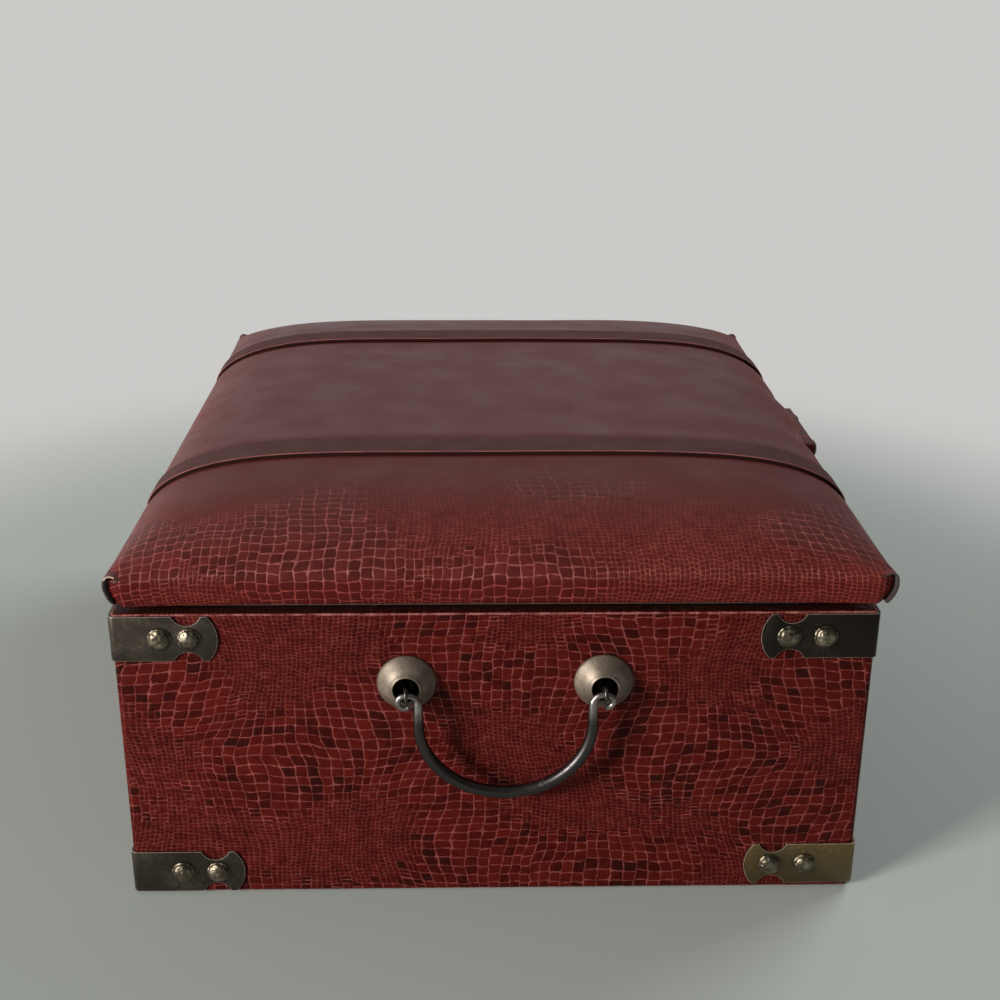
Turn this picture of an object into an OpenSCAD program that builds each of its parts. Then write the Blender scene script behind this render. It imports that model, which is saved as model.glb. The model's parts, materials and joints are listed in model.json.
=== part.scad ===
// Padded storage box: a board case covered in embossed leathercloth, with a cushioned hinged lid,
// two straps over the lid, a closure flap, a corner plate with domed studs at every upright
// corner, top and bottom, and a swinging bail handle on each end.
// +Z is up and the origin is the middle of the underside. +X is the front, with the closure flap,
// and -X the hinged back. The bails hang on the ends: the left end is -Y and the right end +Y.

/* [Box body] */
// Width of the covered body, back to front
body_w = 330; // [300:1:370]
// Length of the covered body, end to end
body_d = 395; // [360:1:440]
// Height of the rim above the table
body_h = 142; // [125:1:180]
// Thickness of the wall boards
board_t = 9; // [7.5:0.5:11]
// Thickness of the base board
base_t = 5; // [3:0.5:7]
// Depth of the rebate in the walls that seats the base board
rebate = 4; // [2:0.5:5]
// Radius of the upright corners
corner_r = 2; // [1:0.5:4]
// Chamfer of the covered rim and its lower edge
edge_chamfer = 0.8; // [0.4:0.1:0.9]

/* [Coverings] */
// Thickness of the leathercloth
cover_t = 1; // [0.8:0.1:1.4]
// Width of the leathercloth turned under the base
hem_w = 12; // [8:1:18]
// Depth of the leathercloth turned in over the rim
turn_in = 12; // [8:1:20]
// Thickness of the wall lining
lining_t = 1; // [0.6:0.1:1.5]
// Thickness of the padded floor lining
floor_lining_t = 2; // [1:0.5:4]
// Thickness of the base sheet below the hem
sheet_t = 0.8; // [0.5:0.1:1.5]
// Distance of the base sheet's edge from the outside of the body
sheet_margin = 6; // [3:1:7]

/* [Padded lid] */
// Overhang of the lid past the front of the body
lid_overhang = 5; // [2:0.5:8]
// Overhang of the lid at each end
lid_end_overhang = 2.5; // [1:0.5:5]
// Gap between the rim and the underside of the lid
lid_gap = 4.5; // [4.2:0.1:6]
// Thickness of the lid board
lid_board_t = 9; // [7:0.5:12]
// Height of the lid's widest line above its underside
lid_edge_h = 11.5; // [10.5:0.5:14]
// Rise of the cushion above its widest line
crown_h = 26.5; // [14:1:32]
// Inset of the lid's lower edge from its widest line
tuck = 3; // [2:0.2:4]
// Draw of the sides between the corners
side_draw = 2.5; // [1:0.5:3]
// Radius of the cushion's corners
lid_corner_r = 5; // [4:0.5:8]
// Swell of the front of the cushion above the closure flap
front_swell = 4; // [0:0.5:5]
// Width of the leathercloth turned under the lid
lid_hem_w = 26; // [20:1:30]
// Distance of the liner panel's edge from the outside of the body
liner_setback = 8; // [7.5:0.5:9]

/* [Straps] */
// Width of a strap
strap_w = 20; // [16:1:24]
// Thickness of a strap
strap_t = 2; // [1.4:0.1:2.4]
// Distance of each strap's centre from the end of the lid
strap_inset = 97; // [90:1:110]

/* [Corner plates] */
// Length of a corner plate's arm
plate_arm = 50.5; // [46:0.5:60]
// Height of a corner plate
plate_h = 21; // [18:0.5:26]
// Thickness of a corner plate
plate_t = 1; // [0.8:0.1:1.5]
// Gap between an upper plate and the rim
plate_drop = 0.8; // [0.5:0.1:4]
// Height of a lower plate above the table
plate_rise = 1.8; // [1.4:0.1:5]
// Width of the round notches in an arm's edges
notch_w = 12.4; // [9:0.2:13]
// Depth of the round notches
notch_depth = 4.3; // [2.5:0.1:4.5]
// Distance of a notch's outer edge from the arm's tip
notch_tip = 6.8; // [6.4:0.2:10]
// Length of an arm's rounded tip
tip_bulge = 4.2; // [3:0.2:6]
// How far the slipped upper plate sits round its corner
plate_slip = 5; // [0:0.5:6]

/* [Studs] */
// Diameter of a stud's domed head
stud_d = 10.5; // [8:0.5:11]
// Height of a stud's domed head
stud_h = 3.4; // [2:0.2:4.5]
// Diameter of a stud's nail
nail_d = 2; // [1.4:0.1:2.2]
// Depth to which a nail is driven into its board
nail_depth = 6.5; // [4:0.5:7]
// Distance of the outer stud from the arm's tip
stud_tip = 12; // [10:0.5:13]
// Distance between the two studs of an arm
stud_pitch = 16; // [13:0.5:17]
// Distance between the two studs of the slipped plate's arms
slip_pitch = 12.8; // [12:0.2:16]

/* [Bail handles] */
// Distance between the two eyes of a handle
eye_pitch = 86; // [80:1:104]
// Offset of a handle from the middle of its end
handle_offset = 4; // [0:1:10]
// Distance of the rosettes' centres below the rim
rosette_drop = 33; // [28:1:45]
// Diameter of a rosette
rosette_d = 26; // [24:0.5:30]
// Height of a rosette
rosette_h = 8; // [7:0.5:8.5]
// Diameter of the opening in a rosette
rosette_hole = 11.5; // [11:0.5:13]
// Diameter of the wire of an eye
eye_wire = 1.8; // [1.5:0.1:2]
// Diameter of the opening of an eye
eye_hole = 4; // [3.8:0.1:4.4]
// Distance of the bail's pivot from the end of the box
eye_reach = 10.4; // [10.3:0.1:12]
// Distance by which an eye sits below its rosette's centre
eye_drop = 1; // [0:0.1:1]
// Diameter of an eye's shank
shank_d = 3.4; // [2.6:0.2:3.6]
// Drop of the bail's middle below its pivot
bail_drop = 48; // [42:1:60]
// Thickness of the bail at its middle
bail_d = 5.6; // [4:0.2:6]
// Thickness of the bail at its hooks
hook_d = 2.6; // [2.2:0.1:2.7]

/* [Hinges] */
// Distance of each hinge from the end of the body
hinge_end = 28; // [24:1:34]
// Length of a hinge
hinge_len = 38; // [30:1:42]
// Thickness of a hinge leaf
leaf_t = 1.2; // [1:0.1:1.3]
// Diameter of a hinge pin
pin_d = 2; // [1.6:0.1:2.2]
// Width of the lid's leaf, from the hinge axis
lid_leaf_w = 12.5; // [12:0.5:15]
// Distance of the hinge axis from the back of the body
hinge_inset = 3.5; // [3.4:0.1:3.8]

/* [Closure flap] */
// Width of the closure flap at the lid
flap_w = 66; // [56:1:80]
// Width of the closure flap at its lower end
flap_tip_w = 50; // [40:1:56]
// Thickness of the closure flap
flap_t = 2.2; // [1.6:0.1:2.6]
// Length of the flap below its fold
flap_len = 52; // [44:1:62]
// Diameter of the magnet and of its keeper
magnet_d = 18; // [14:1:22]
// Thickness of the magnet in the flap
magnet_t = 1.6; // [1:0.1:2.4]
// Thickness of the keeper on the body
keeper_t = 1.4; // [1:0.1:2]

/* [Hidden] */

round_fn = 48;
small_fn = 24;
// Clearance between pieces of different bodies
clear = 0.3;
// Clearance of a shaft in its hole
running = 0.05;
// Overrun of a cutter past a face
over = 1;

leather = "#5a1f1c";
lining = "#3a2c28";
wood = "#b79b74";
bronze = "#4a4538";
brass = "#8a7a58";
iron = "#2c2c2b";

// Heights of the body
board_z = sheet_t + cover_t;
rim_z = body_h - cover_t;
floor_z = board_z + base_t;
inner_w = body_w - 2 * (cover_t + board_t);
inner_d = body_d - 2 * (cover_t + board_t);
board_r = max(corner_r - cover_t, 0.2);

// Places and sizes of the lid
lid_w = body_w + lid_overhang;
lid_d = body_d + 2 * lid_end_overhang;
lid_x = lid_overhang / 2;
lid_z = body_h + lid_gap;
lid_board_z = lid_z + cover_t;
tip_z = lid_z + lid_edge_h;
lid_board_w = lid_w - 2 * (side_draw + tuck + cover_t + clear);
lid_board_d = lid_d - 2 * (side_draw + tuck + cover_t + clear);
liner_w = body_w - 2 * liner_setback;
liner_d = body_d - 2 * liner_setback;

strap_y = lid_d / 2 - strap_inset;

// Insets from the lid's edge of the lines on which the cushion is drawn
draw_insets = [0, 2, 6, 12, 20, 33, 53, 88];
// Profile below the widest line, as [share of the edge's height, share of the tuck]
side_profile = [[0.6, 0], [0.25, 0.35], [0, 1]];
// Powers that shape the crown and the drawn-in sides
crown_power = 5.2;
crown_root = 0.6;
draw_power = 6;
swell_inset = 5;
swell_spread = 10;
swell_width = 29;
swell_place = 3;
swell_at_edge = front_swell * exp(-pow(swell_inset / swell_spread, 2));

// Height by which the front left lower plate sits above the others
raised_plate = 1.6;

// Holes for the nails of the studs
nail_hole_d = nail_d + 2 * running;
nail_reach = cover_t + nail_depth;

// Places of the handles
rosette_z = body_h - rosette_drop;
eye_z = rosette_z - eye_drop;
eye_ring_r = (eye_hole + eye_wire) / 2;
pivot_z = eye_z - (eye_hole - hook_d) / 2 + clear;
rosette_floor = 1.2;
collar_t = 0.9;
washer_t = 1;
washer_d = 16;
shank_in = cover_t + board_t + lining_t + washer_t;
bail_sides = 10;

// Places of the hinges
hinge_x = -body_w / 2 + hinge_inset;
hinge_y = body_d / 2 - hinge_end - hinge_len / 2;
hinge_z = body_h + lid_gap / 2;
knuckle_r = lid_gap / 2 - 0.25;
body_leaf_w = board_t + cover_t - hinge_inset;
knuckle_gap = 0.2;
knuckle_len = hinge_len / 3;
screw_d = 2;
screw_head_d = 3.6;
screw_len = 7;
screw_edge = 2.6;
screw_end = 6;
screw_pitch = hinge_len / 2 - screw_end;

// Places of the closure flap
flap_x = lid_x + lid_w / 2 - side_draw + swell_at_edge + clear;
fold_z = lid_z + 2;
flap_stud_z = fold_z + flap_t / 2 + clear + stud_d / 2;
flap_top_z = flap_stud_z + stud_d / 2 + 0.8;
flap_stud_edge = 11;
flap_stud_y = flap_w / 2 - flap_stud_edge;
flap_nail_len = nail_reach + 2 * flap_t + 5;
keeper_x = body_w / 2;
seat_x = keeper_x + keeper_t + clear + magnet_t;
magnet_z = fold_z - flap_len + magnet_d / 2 + 5;

// Points of a rectangle w by d, centred on the origin, with corners of radius r
function round_rect(w, d, r, steps = 5) = [
    for (q = [0:3], k = [0:steps])
        let (
            sx = (q == 0 || q == 3) ? 1 : -1,
            sy = q < 2 ? 1 : -1,
            a = 90 * (q + k / steps)
        ) [sx * (w / 2 - r) + r * cos(a), sy * (d / 2 - r) + r * sin(a)]
];

module slab(w, d, h, r, z = 0) {
    translate([0, 0, z]) linear_extrude(h) polygon(round_rect(w, d, r));
}

// Cuts a straight chamfer along the four edges of a w by d outline at height z
module edge_cuts(w, d, z) {
    side = edge_chamfer * sqrt(2);
    for (s = [-1, 1]) {
        translate([s * w / 2, 0, z]) rotate([0, 45, 0])
            cube([side, d + 2 * over, side], center = true);
        translate([0, s * d / 2, z]) rotate([45, 0, 0])
            cube([w + 2 * over, side, side], center = true);
    }
}

// Corners of the body as [side in x, side in y, arm along the end, arm along the side, rise,
// distance between the studs of an arm]
function corners(upper) = [
    [-1, -1, plate_arm - (upper ? plate_slip : 0), plate_arm + (upper ? plate_slip : 0), 0,
     upper ? slip_pitch : stud_pitch],
    [1, -1, plate_arm, plate_arm, upper ? 0 : raised_plate, stud_pitch],
    [-1, 1, plate_arm, plate_arm, 0, stud_pitch],
    [1, 1, plate_arm, plate_arm, 0, stud_pitch]
];
function plate_z(upper) = upper ? body_h - plate_drop - plate_h : plate_rise;

// Puts the children at each stud of the corner plates, with +Z out of the body's face
module at_studs(upper) {
    for (c = corners(upper), k = [0, 1]) {
        z = plate_z(upper) + c[4] + plate_h / 2;
        translate([c[0] * (body_w / 2 - c[2] + stud_tip + k * c[5]), c[1] * body_d / 2, z])
            rotate([-c[1] * 90, 0, 0]) children();
        translate([c[0] * body_w / 2, c[1] * (body_d / 2 - c[3] + stud_tip + k * c[5]), z])
            rotate([0, c[0] * 90, 0]) children();
    }
}

// Puts the children at the two eyes of an end, with +Z out of the end: side -1 left, 1 right
module at_eyes(side, z) {
    for (k = [-1, 1])
        translate([-side * handle_offset + k * eye_pitch / 2, side * body_d / 2, z])
            rotate([-side * 90, 0, 0]) children();
}

module nail_holes(d, depth) {
    for (upper = [false, true]) at_studs(upper)
        translate([0, 0, -depth]) cylinder(d = d, h = depth + over, $fn = small_fn);
}

module shank_holes(d) {
    for (side = [-1, 1]) at_eyes(side, eye_z)
        translate([0, 0, -board_t - cover_t - lining_t - over])
            cylinder(d = d, h = board_t + cover_t + lining_t + 2 * over, $fn = small_fn);
}

module base_board() color(wood)
    slab(inner_w + 2 * rebate, inner_d + 2 * rebate, base_t, 0.5, board_z);

// Felt pressed up inside the turned-under hem
module base_sheet() color(lining) {
    slab(body_w - 2 * sheet_margin, body_d - 2 * sheet_margin, sheet_t, 4);
    slab(body_w - 2 * hem_w, body_d - 2 * hem_w, sheet_t + cover_t, 1);
}

module rebate_cut() {
    translate([0, 0, board_z - over])
        linear_extrude(base_t + over)
            square([inner_w + 2 * rebate, inner_d + 2 * rebate], center = true);
}

// One long wall, at the front (side 1) or the back (side -1)
module long_wall(side) {
    difference() {
        intersection() {
            slab(body_w - 2 * cover_t, body_d - 2 * cover_t, rim_z - board_z, board_r, board_z);
            translate([side > 0 ? inner_w / 2 : -body_w / 2, -body_d / 2, 0])
                cube([body_w / 2 - inner_w / 2, body_d, body_h]);
        }
        rebate_cut();
        nail_holes(nail_hole_d, nail_reach + clear);
        if (side < 0) at_hinges() at_screws(-1) screw_hole(-1);
    }
}
module front_board() color(wood) long_wall(1);
module back_board() color(wood) long_wall(-1);

// One end wall, fitted between the long walls
module end_wall(side) {
    difference() {
        translate([-inner_w / 2, side > 0 ? inner_d / 2 : -inner_d / 2 - board_t, board_z])
            cube([inner_w, board_t, rim_z - board_z]);
        rebate_cut();
        nail_holes(nail_hole_d, nail_reach + clear);
        shank_holes(shank_d + 2 * running);
    }
}
module left_end_board() color(wood) end_wall(-1);
module right_end_board() color(wood) end_wall(1);

// Leathercloth over the four walls, turned under the base, and in and down over the rim
module body_cover() color(leather)
    difference() {
        union() {
            difference() {
                slab(body_w, body_d, body_h - sheet_t, corner_r, sheet_t);
                slab(body_w - 2 * cover_t, body_d - 2 * cover_t, rim_z - board_z, board_r,
                     board_z);
                slab(body_w - 2 * hem_w, body_d - 2 * hem_w, board_z + 2 * over, 1, -over);
                slab(inner_w, inner_d, body_h, 0.5, rim_z - over);
            }
            difference() {
                slab(inner_w, inner_d, turn_in, 0.5, body_h - turn_in);
                slab(inner_w - 2 * cover_t, inner_d - 2 * cover_t, turn_in + 2 * over, 0.5,
                     body_h - turn_in - over);
            }
        }
        edge_cuts(body_w, body_d, body_h);
        nail_holes(nail_hole_d, nail_reach);
        shank_holes(shank_d + 2 * running);
        at_hinges() at_screws(-1) screw_hole(-1);
    }

// Lining of the walls, up to the leathercloth that is turned in over the rim
module wall_lining() color(lining)
    difference() {
        slab(inner_w, inner_d, body_h - turn_in - floor_z, 0.5, floor_z);
        slab(inner_w - 2 * lining_t, inner_d - 2 * lining_t, body_h, 0.5, floor_z - over);
        shank_holes(shank_d + 2 * running);
    }

module floor_lining() color(lining)
    slab(inner_w - 2 * lining_t, inner_d - 2 * lining_t, floor_lining_t, 0.5, floor_z);

// Notched arm end as a cutter: the arm runs along +X from the corner and is cut at length arm
module arm_cutter(arm) {
    tip_r = (pow(plate_h / 2, 2) + pow(tip_bulge, 2)) / (2 * tip_bulge);
    notch_r = (pow(notch_w / 2, 2) + pow(notch_depth, 2)) / (2 * notch_depth);
    deep = plate_t + 2 * over;
    difference() {
        translate([arm - tip_bulge - plate_h, -deep / 2, -over])
            cube([plate_h + tip_bulge + over, deep, plate_h + 2 * over]);
        translate([arm - tip_bulge - plate_h - over, -deep, 0])
            cube([plate_h + over, 2 * deep, plate_h]);
        translate([arm - tip_r, deep, plate_h / 2]) rotate([90, 0, 0])
            cylinder(r = tip_r, h = 2 * deep, $fn = 96);
    }
    for (s = [0, 1])
        translate([arm - notch_tip - notch_w / 2, deep / 2,
                   s * plate_h + (2 * s - 1) * (notch_r - notch_depth)])
            rotate([90, 0, 0]) cylinder(r = notch_r, h = deep, $fn = round_fn);
}

// Corner plate of the corner at the origin, with arms along +X and +Y and the body inside them
module plate(arm_end, arm_side, pitch) {
    outer = corner_r + plate_t;
    hole_z = plate_h / 2;
    bend = [for (k = [0:5]) [corner_r - outer * cos(18 * k), corner_r - outer * sin(18 * k)]];
    seat = [for (k = [5:-1:0]) [corner_r - corner_r * cos(18 * k),
                                corner_r - corner_r * sin(18 * k)]];
    difference() {
        linear_extrude(plate_h) polygon(concat(
            [[-plate_t, arm_side]], bend, [[arm_end, -plate_t], [arm_end, 0]], seat,
            [[0, arm_side]]
        ));
        translate([0, -plate_t / 2, 0]) arm_cutter(arm_end);
        translate([-plate_t / 2, 0, 0]) rotate([0, 0, 90]) mirror([0, 1, 0]) arm_cutter(arm_side);
        for (k = [0, 1]) {
            translate([arm_end - stud_tip - k * pitch, over, hole_z]) rotate([90, 0, 0])
                cylinder(d = nail_hole_d, h = plate_t + 2 * over, $fn = small_fn);
            translate([over, arm_side - stud_tip - k * pitch, hole_z]) rotate([0, -90, 0])
                cylinder(d = nail_hole_d, h = plate_t + 2 * over, $fn = small_fn);
        }
    }
}

module corner_plate(upper, index) color(bronze) {
    c = corners(upper)[index];
    translate([c[0] * body_w / 2, c[1] * body_d / 2, plate_z(upper) + c[4]])
        mirror([c[0] > 0 ? 1 : 0, 0, 0]) mirror([0, c[1] > 0 ? 1 : 0, 0])
            plate(c[2], c[3], c[5]);
}
module upper_plate_back_left() corner_plate(true, 0);
module upper_plate_front_left() corner_plate(true, 1);
module upper_plate_back_right() corner_plate(true, 2);
module upper_plate_front_right() corner_plate(true, 3);
module lower_plate_back_left() corner_plate(false, 0);
module lower_plate_front_left() corner_plate(false, 1);
module lower_plate_back_right() corner_plate(false, 2);
module lower_plate_front_right() corner_plate(false, 3);

// Domed stud with its head's underside at z = 0
module stud(reach) {
    dome_r = (pow(stud_d / 2, 2) + pow(stud_h, 2)) / (2 * stud_h);
    intersection() {
        translate([0, 0, stud_h - dome_r]) sphere(r = dome_r, $fn = round_fn);
        cylinder(d = stud_d + over, h = stud_h + over, $fn = round_fn);
    }
    translate([0, 0, -reach]) cylinder(d = nail_d, h = reach + stud_h / 2, $fn = small_fn);
}

module plate_studs(upper) color(brass)
    at_studs(upper) translate([0, 0, plate_t]) stud(plate_t + nail_reach);
module upper_plate_studs() plate_studs(true);
module lower_plate_studs() plate_studs(false);

// Spun rosette: a cone with a deep cup, whose floor holds it down under the eye's collar
module rosette() {
    wall = 1;
    r = rosette_d / 2;
    lip = rosette_hole / 2;
    difference() {
        rotate_extrude($fn = round_fn) polygon([
            [0, 0], [lip + wall, 0], [lip + wall, rosette_h - 2 * wall], [r - 2.2, 0], [r, 0],
            [r - 0.3, 1], [r - 1.5, 2.6], [r - 3.2, 4.5], [r - 5, rosette_h - 1.9],
            [lip + 1, rosette_h - 0.2], [lip + 0.3, rosette_h], [lip, rosette_h - 0.4],
            [lip, rosette_floor], [0, rosette_floor]
        ]);
        translate([0, -eye_drop, -over])
            cylinder(d = shank_d + 0.4, h = rosette_floor + 2 * over, $fn = small_fn);
    }
}

module rosettes(side) color(brass)
    at_eyes(side, rosette_z) rotate([0, 0, side > 0 ? 180 : 0]) rosette();
module left_rosettes() rosettes(-1);
module right_rosettes() rosettes(1);

// Eye: a wire ring on a collared shank, whose legs are spread flat on the inside washer
module eye() {
    leg = 9;
    translate([0, 0, eye_reach]) rotate([0, 90, 0]) rotate_extrude($fn = round_fn)
        translate([eye_ring_r, 0]) circle(d = eye_wire, $fn = small_fn);
    translate([0, 0, -shank_in - shank_d / 4])
        cylinder(d = shank_d - 0.8, h = shank_in + shank_d / 4 + eye_reach - eye_ring_r,
                 $fn = small_fn);
    translate([0, 0, -shank_in]) cylinder(d = shank_d, h = shank_in + rosette_floor, $fn = small_fn);
    translate([0, 0, rosette_floor]) cylinder(d = shank_d + 2.8, h = collar_t, $fn = small_fn);
    intersection() {
        translate([0, -leg, -shank_in]) rotate([-90, 0, 0])
            cylinder(d = shank_d, h = 2 * leg, $fn = small_fn);
        translate([-shank_d, -leg, -shank_in - shank_d]) cube([2 * shank_d, 2 * leg, shank_d]);
    }
}
module eyes(side) color(iron) at_eyes(side, eye_z) eye();
module left_eyes() eyes(-1);
module right_eyes() eyes(1);

module eye_washers(side) color(iron)
    at_eyes(side, eye_z) translate([0, 0, -shank_in]) difference() {
        cylinder(d = washer_d, h = washer_t, $fn = round_fn);
        translate([0, 0, -over])
            cylinder(d = shank_d + 2 * running, h = washer_t + 2 * over, $fn = small_fn);
    }
module left_eye_washers() eye_washers(-1);
module right_eye_washers() eye_washers(1);

// Bail: one tapered bar in the plane of its pivot. Points are [across, up] from the pivot line.
hook_turn_r = 3;
hook_flat = 0.6;
leg_in = 5.2;
leg_top = 4;
leg_len = 14;
bail_half = eye_pitch / 2 - leg_in;
// Angles by which the curls of the two hooks turn past their lowest point
hook_turns = [30, 5];
// Points along a curl, and depths between which the bar swells from its hooks to its middle
curl_points = 10;
swell_from = 2;
swell_to = bail_drop - 10;
swell_power = 0.4;

// Hook of one eye, from its cut end to the top of its leg, across towards the bail's middle
function hook_points(turn) = concat(
    [for (k = [0:curl_points - 1]) let (a = -90 + turn - k * (180 + turn) / (curl_points - 1))
        [-hook_flat + hook_turn_r * cos(a), -hook_turn_r + hook_turn_r * sin(a)]],
    [for (k = [1:6]) let (a = 90 - 15 * k)
        [leg_in - leg_top + leg_top * cos(a), -leg_top + leg_top * sin(a)]]
);
// Line of the whole bail. The two hooks turn past their lowest point by turn_a and turn_b.
function bail_points(turn_a, turn_b) = let (
    low = leg_len - bail_drop,
    a = [for (p = hook_points(turn_a)) [p[0] - eye_pitch / 2, p[1]]],
    b = [for (p = hook_points(turn_b)) [eye_pitch / 2 - p[0], p[1]]],
    n = len(b) - 1,
    leg = [for (k = [1:2]) -leg_top - k * (leg_len - leg_top) / 3]
) concat(
    a,
    [for (v = leg) [-bail_half, v]],
    [for (k = [0:20]) let (t = 180 + 9 * k)
        [bail_half * cos(t), -leg_len - low * sin(t)]],
    [for (k = [1:-1:0]) [bail_half, leg[k]]],
    [for (k = [n:-1:0]) b[k]]
);
// Radius of the bar at point i of n, at a depth below the pivot. The curls stay thin.
function bar_r(i, n, depth) = i < curl_points || i >= n - curl_points ? hook_d / 2
    : let (t = min(1, max(0, (depth - swell_from) / (swell_to - swell_from))))
        hook_d / 2 + (bail_d - hook_d) / 2 * pow(t, swell_power);

module bail_bar(turn_a, turn_b) {
    p = bail_points(turn_a, turn_b);
    n = len(p);
    tangent = [for (i = [0:n - 1]) let (d = p[min(i + 1, n - 1)] - p[max(i - 1, 0)])
        d / norm(d)];
    rings = [for (i = [0:n - 1], k = [0:bail_sides - 1])
        let (a = 360 * k / bail_sides, r = bar_r(i, n, -p[i][1]), t = tangent[i])
        [p[i][0] - t[1] * r * cos(a), r * sin(a), p[i][1] + t[0] * r * cos(a)]];
    m = bail_sides;
    walls = [for (i = [0:n - 2], k = [0:m - 1])
        [i * m + k, (i + 1) * m + k, (i + 1) * m + (k + 1) % m, i * m + (k + 1) % m]];
    polyhedron(rings, concat(walls, [[for (k = [0:m - 1]) k]],
                             [[for (k = [m - 1:-1:0]) (n - 1) * m + k]]), convexity = 6);
}

module bail(side) color(iron)
    translate([-side * handle_offset, side * (body_d / 2 + eye_reach), pivot_z])
        rotate([0, 0, side > 0 ? 180 : 0]) bail_bar(hook_turns[0], hook_turns[1]);
module left_bail() bail(-1);
module right_bail() bail(1);

module at_hinges() {
    for (s = [-1, 1]) translate([hinge_x, s * hinge_y, hinge_z]) children();
}
function leaf_w(side) = side > 0 ? lid_leaf_w : body_leaf_w;
module at_screws(side) {
    for (k = [-1, 0, 1])
        translate([leaf_w(side) - screw_edge, k * screw_pitch, 0]) children();
}
// Screw from a leaf's inner face: side -1 is the body's leaf, 1 the lid's
module screw_hole(side) {
    reach = lid_gap / 2 - leaf_t;
    translate([0, 0, side > 0 ? reach : -reach - screw_len - running])
        cylinder(d = screw_d + 2 * running, h = screw_len + running, $fn = small_fn);
}
module screw(side) {
    top = lid_gap / 2 - leaf_t;
    mirror([0, 0, side > 0 ? 0 : 1]) translate([0, 0, top]) {
        cylinder(d1 = screw_head_d, d2 = screw_d, h = 0.9, $fn = small_fn);
        cylinder(d = screw_d, h = screw_len, $fn = small_fn);
    }
}

module knuckle(y0, y1) {
    translate([0, y0, 0]) rotate([-90, 0, 0]) cylinder(r = knuckle_r, h = y1 - y0, $fn = round_fn);
}

// One leaf: the body's has the two outer knuckles, the lid's the middle one
module leaf(side) {
    half = hinge_len / 2;
    mid = knuckle_len / 2;
    top = lid_gap / 2;
    cut = knuckle_r + 0.2;
    difference() {
        union() {
            difference() {
                translate([0, -half, side > 0 ? top - leaf_t : -top])
                    cube([leaf_w(side), hinge_len, leaf_t]);
                if (side < 0)
                    translate([-cut, -mid - knuckle_gap, -top - over])
                        cube([2 * cut, 2 * (mid + knuckle_gap), 2 * top + 2 * over]);
                if (side > 0) for (s = [-1, 1])
                    translate([-cut, s > 0 ? mid - knuckle_gap : -half - over, -top - over])
                        cube([2 * cut, half - mid + knuckle_gap + over, 2 * top + 2 * over]);
            }
            if (side < 0) {
                knuckle(-half, -mid - knuckle_gap);
                knuckle(mid + knuckle_gap, half);
            } else {
                knuckle(-mid + knuckle_gap, mid - knuckle_gap);
            }
        }
        translate([0, -half - over, 0]) rotate([-90, 0, 0])
            cylinder(d = pin_d + 2 * running, h = hinge_len + 2 * over, $fn = small_fn);
        at_screws(side) screw(side);
        at_screws(side) screw_hole(side);
    }
}
module hinge_body_leaves() color(brass) at_hinges() leaf(-1);
module hinge_lid_leaves() color(brass) at_hinges() leaf(1);
module hinge_body_screws() color(brass) at_hinges() at_screws(-1) screw(-1);
module hinge_lid_screws() color(brass) at_hinges() at_screws(1) screw(1);

module hinge_pins() color(brass)
    at_hinges() {
        translate([0, -hinge_len / 2, 0]) rotate([-90, 0, 0])
            cylinder(d = pin_d, h = hinge_len, $fn = small_fn);
        for (k = [0, 1]) mirror([0, k, 0]) translate([0, hinge_len / 2, 0]) rotate([-90, 0, 0])
            cylinder(d = pin_d + 1, h = 0.6, $fn = small_fn);
    }

// Cushion of the lid. Its lines run at set insets from each edge, so that the drawn shape stays
// the same when the lid's size changes.
function stations(size, middle) = let (
    half = size / 2,
    rise = [for (s = draw_insets) 1 - s / half]
) concat([for (u = rise) -u], [for (m = middle) m / half],
         [for (k = [len(rise) - 1:-1:0]) rise[k]]);
us = stations(lid_w, [0]);
vs = stations(lid_d, [for (k = [-2:2]) k * swell_width]);
nu = len(us);
nv = len(vs);
function rise_share(u, half) = let (p = crown_power * half / 165)
    pow(max(0, 1 - pow(abs(u), p)), crown_root);
function swell(u, v, drop) = u <= 0 ? 0 : let (
    s = (1 - u) * lid_w / 2,
    y = v * lid_d / 2
) front_swell * exp(-pow((s - swell_inset) / swell_spread, 2))
    * exp(-pow((y - swell_place) / swell_width, 2)) * drop;

// Point of the cushion at u, v in -1..1, inset by t, on plan only. drop fades the swell.
function plan_point(u, v, t, drop = 1) = let (
    hw = lid_w / 2 - t,
    hd = lid_d / 2 - t,
    r = max(lid_corner_r - t, 0.6),
    du = max(0, abs(u) * hw - hw + r) / r,
    dv = max(0, abs(v) * hd - hd + r) / r,
    ex = du > 0 ? hw - r + r * du * sqrt(1 - dv * dv / 2) : abs(u) * hw,
    ey = dv > 0 ? hd - r + r * dv * sqrt(1 - du * du / 2) : abs(v) * hd,
    px = ex - side_draw * abs(u) * (1 - pow(abs(v), draw_power)),
    py = ey - side_draw * abs(v) * (1 - pow(abs(u), draw_power))
) [lid_x + sign(u) * px + swell(u, v, drop), sign(v) * py];
function crown_point(u, v, t) = let (p = plan_point(u, v, t))
    [p[0], p[1], tip_z + (crown_h - t) * rise_share(u, lid_w / 2) * rise_share(v, lid_d / 2)];

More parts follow.
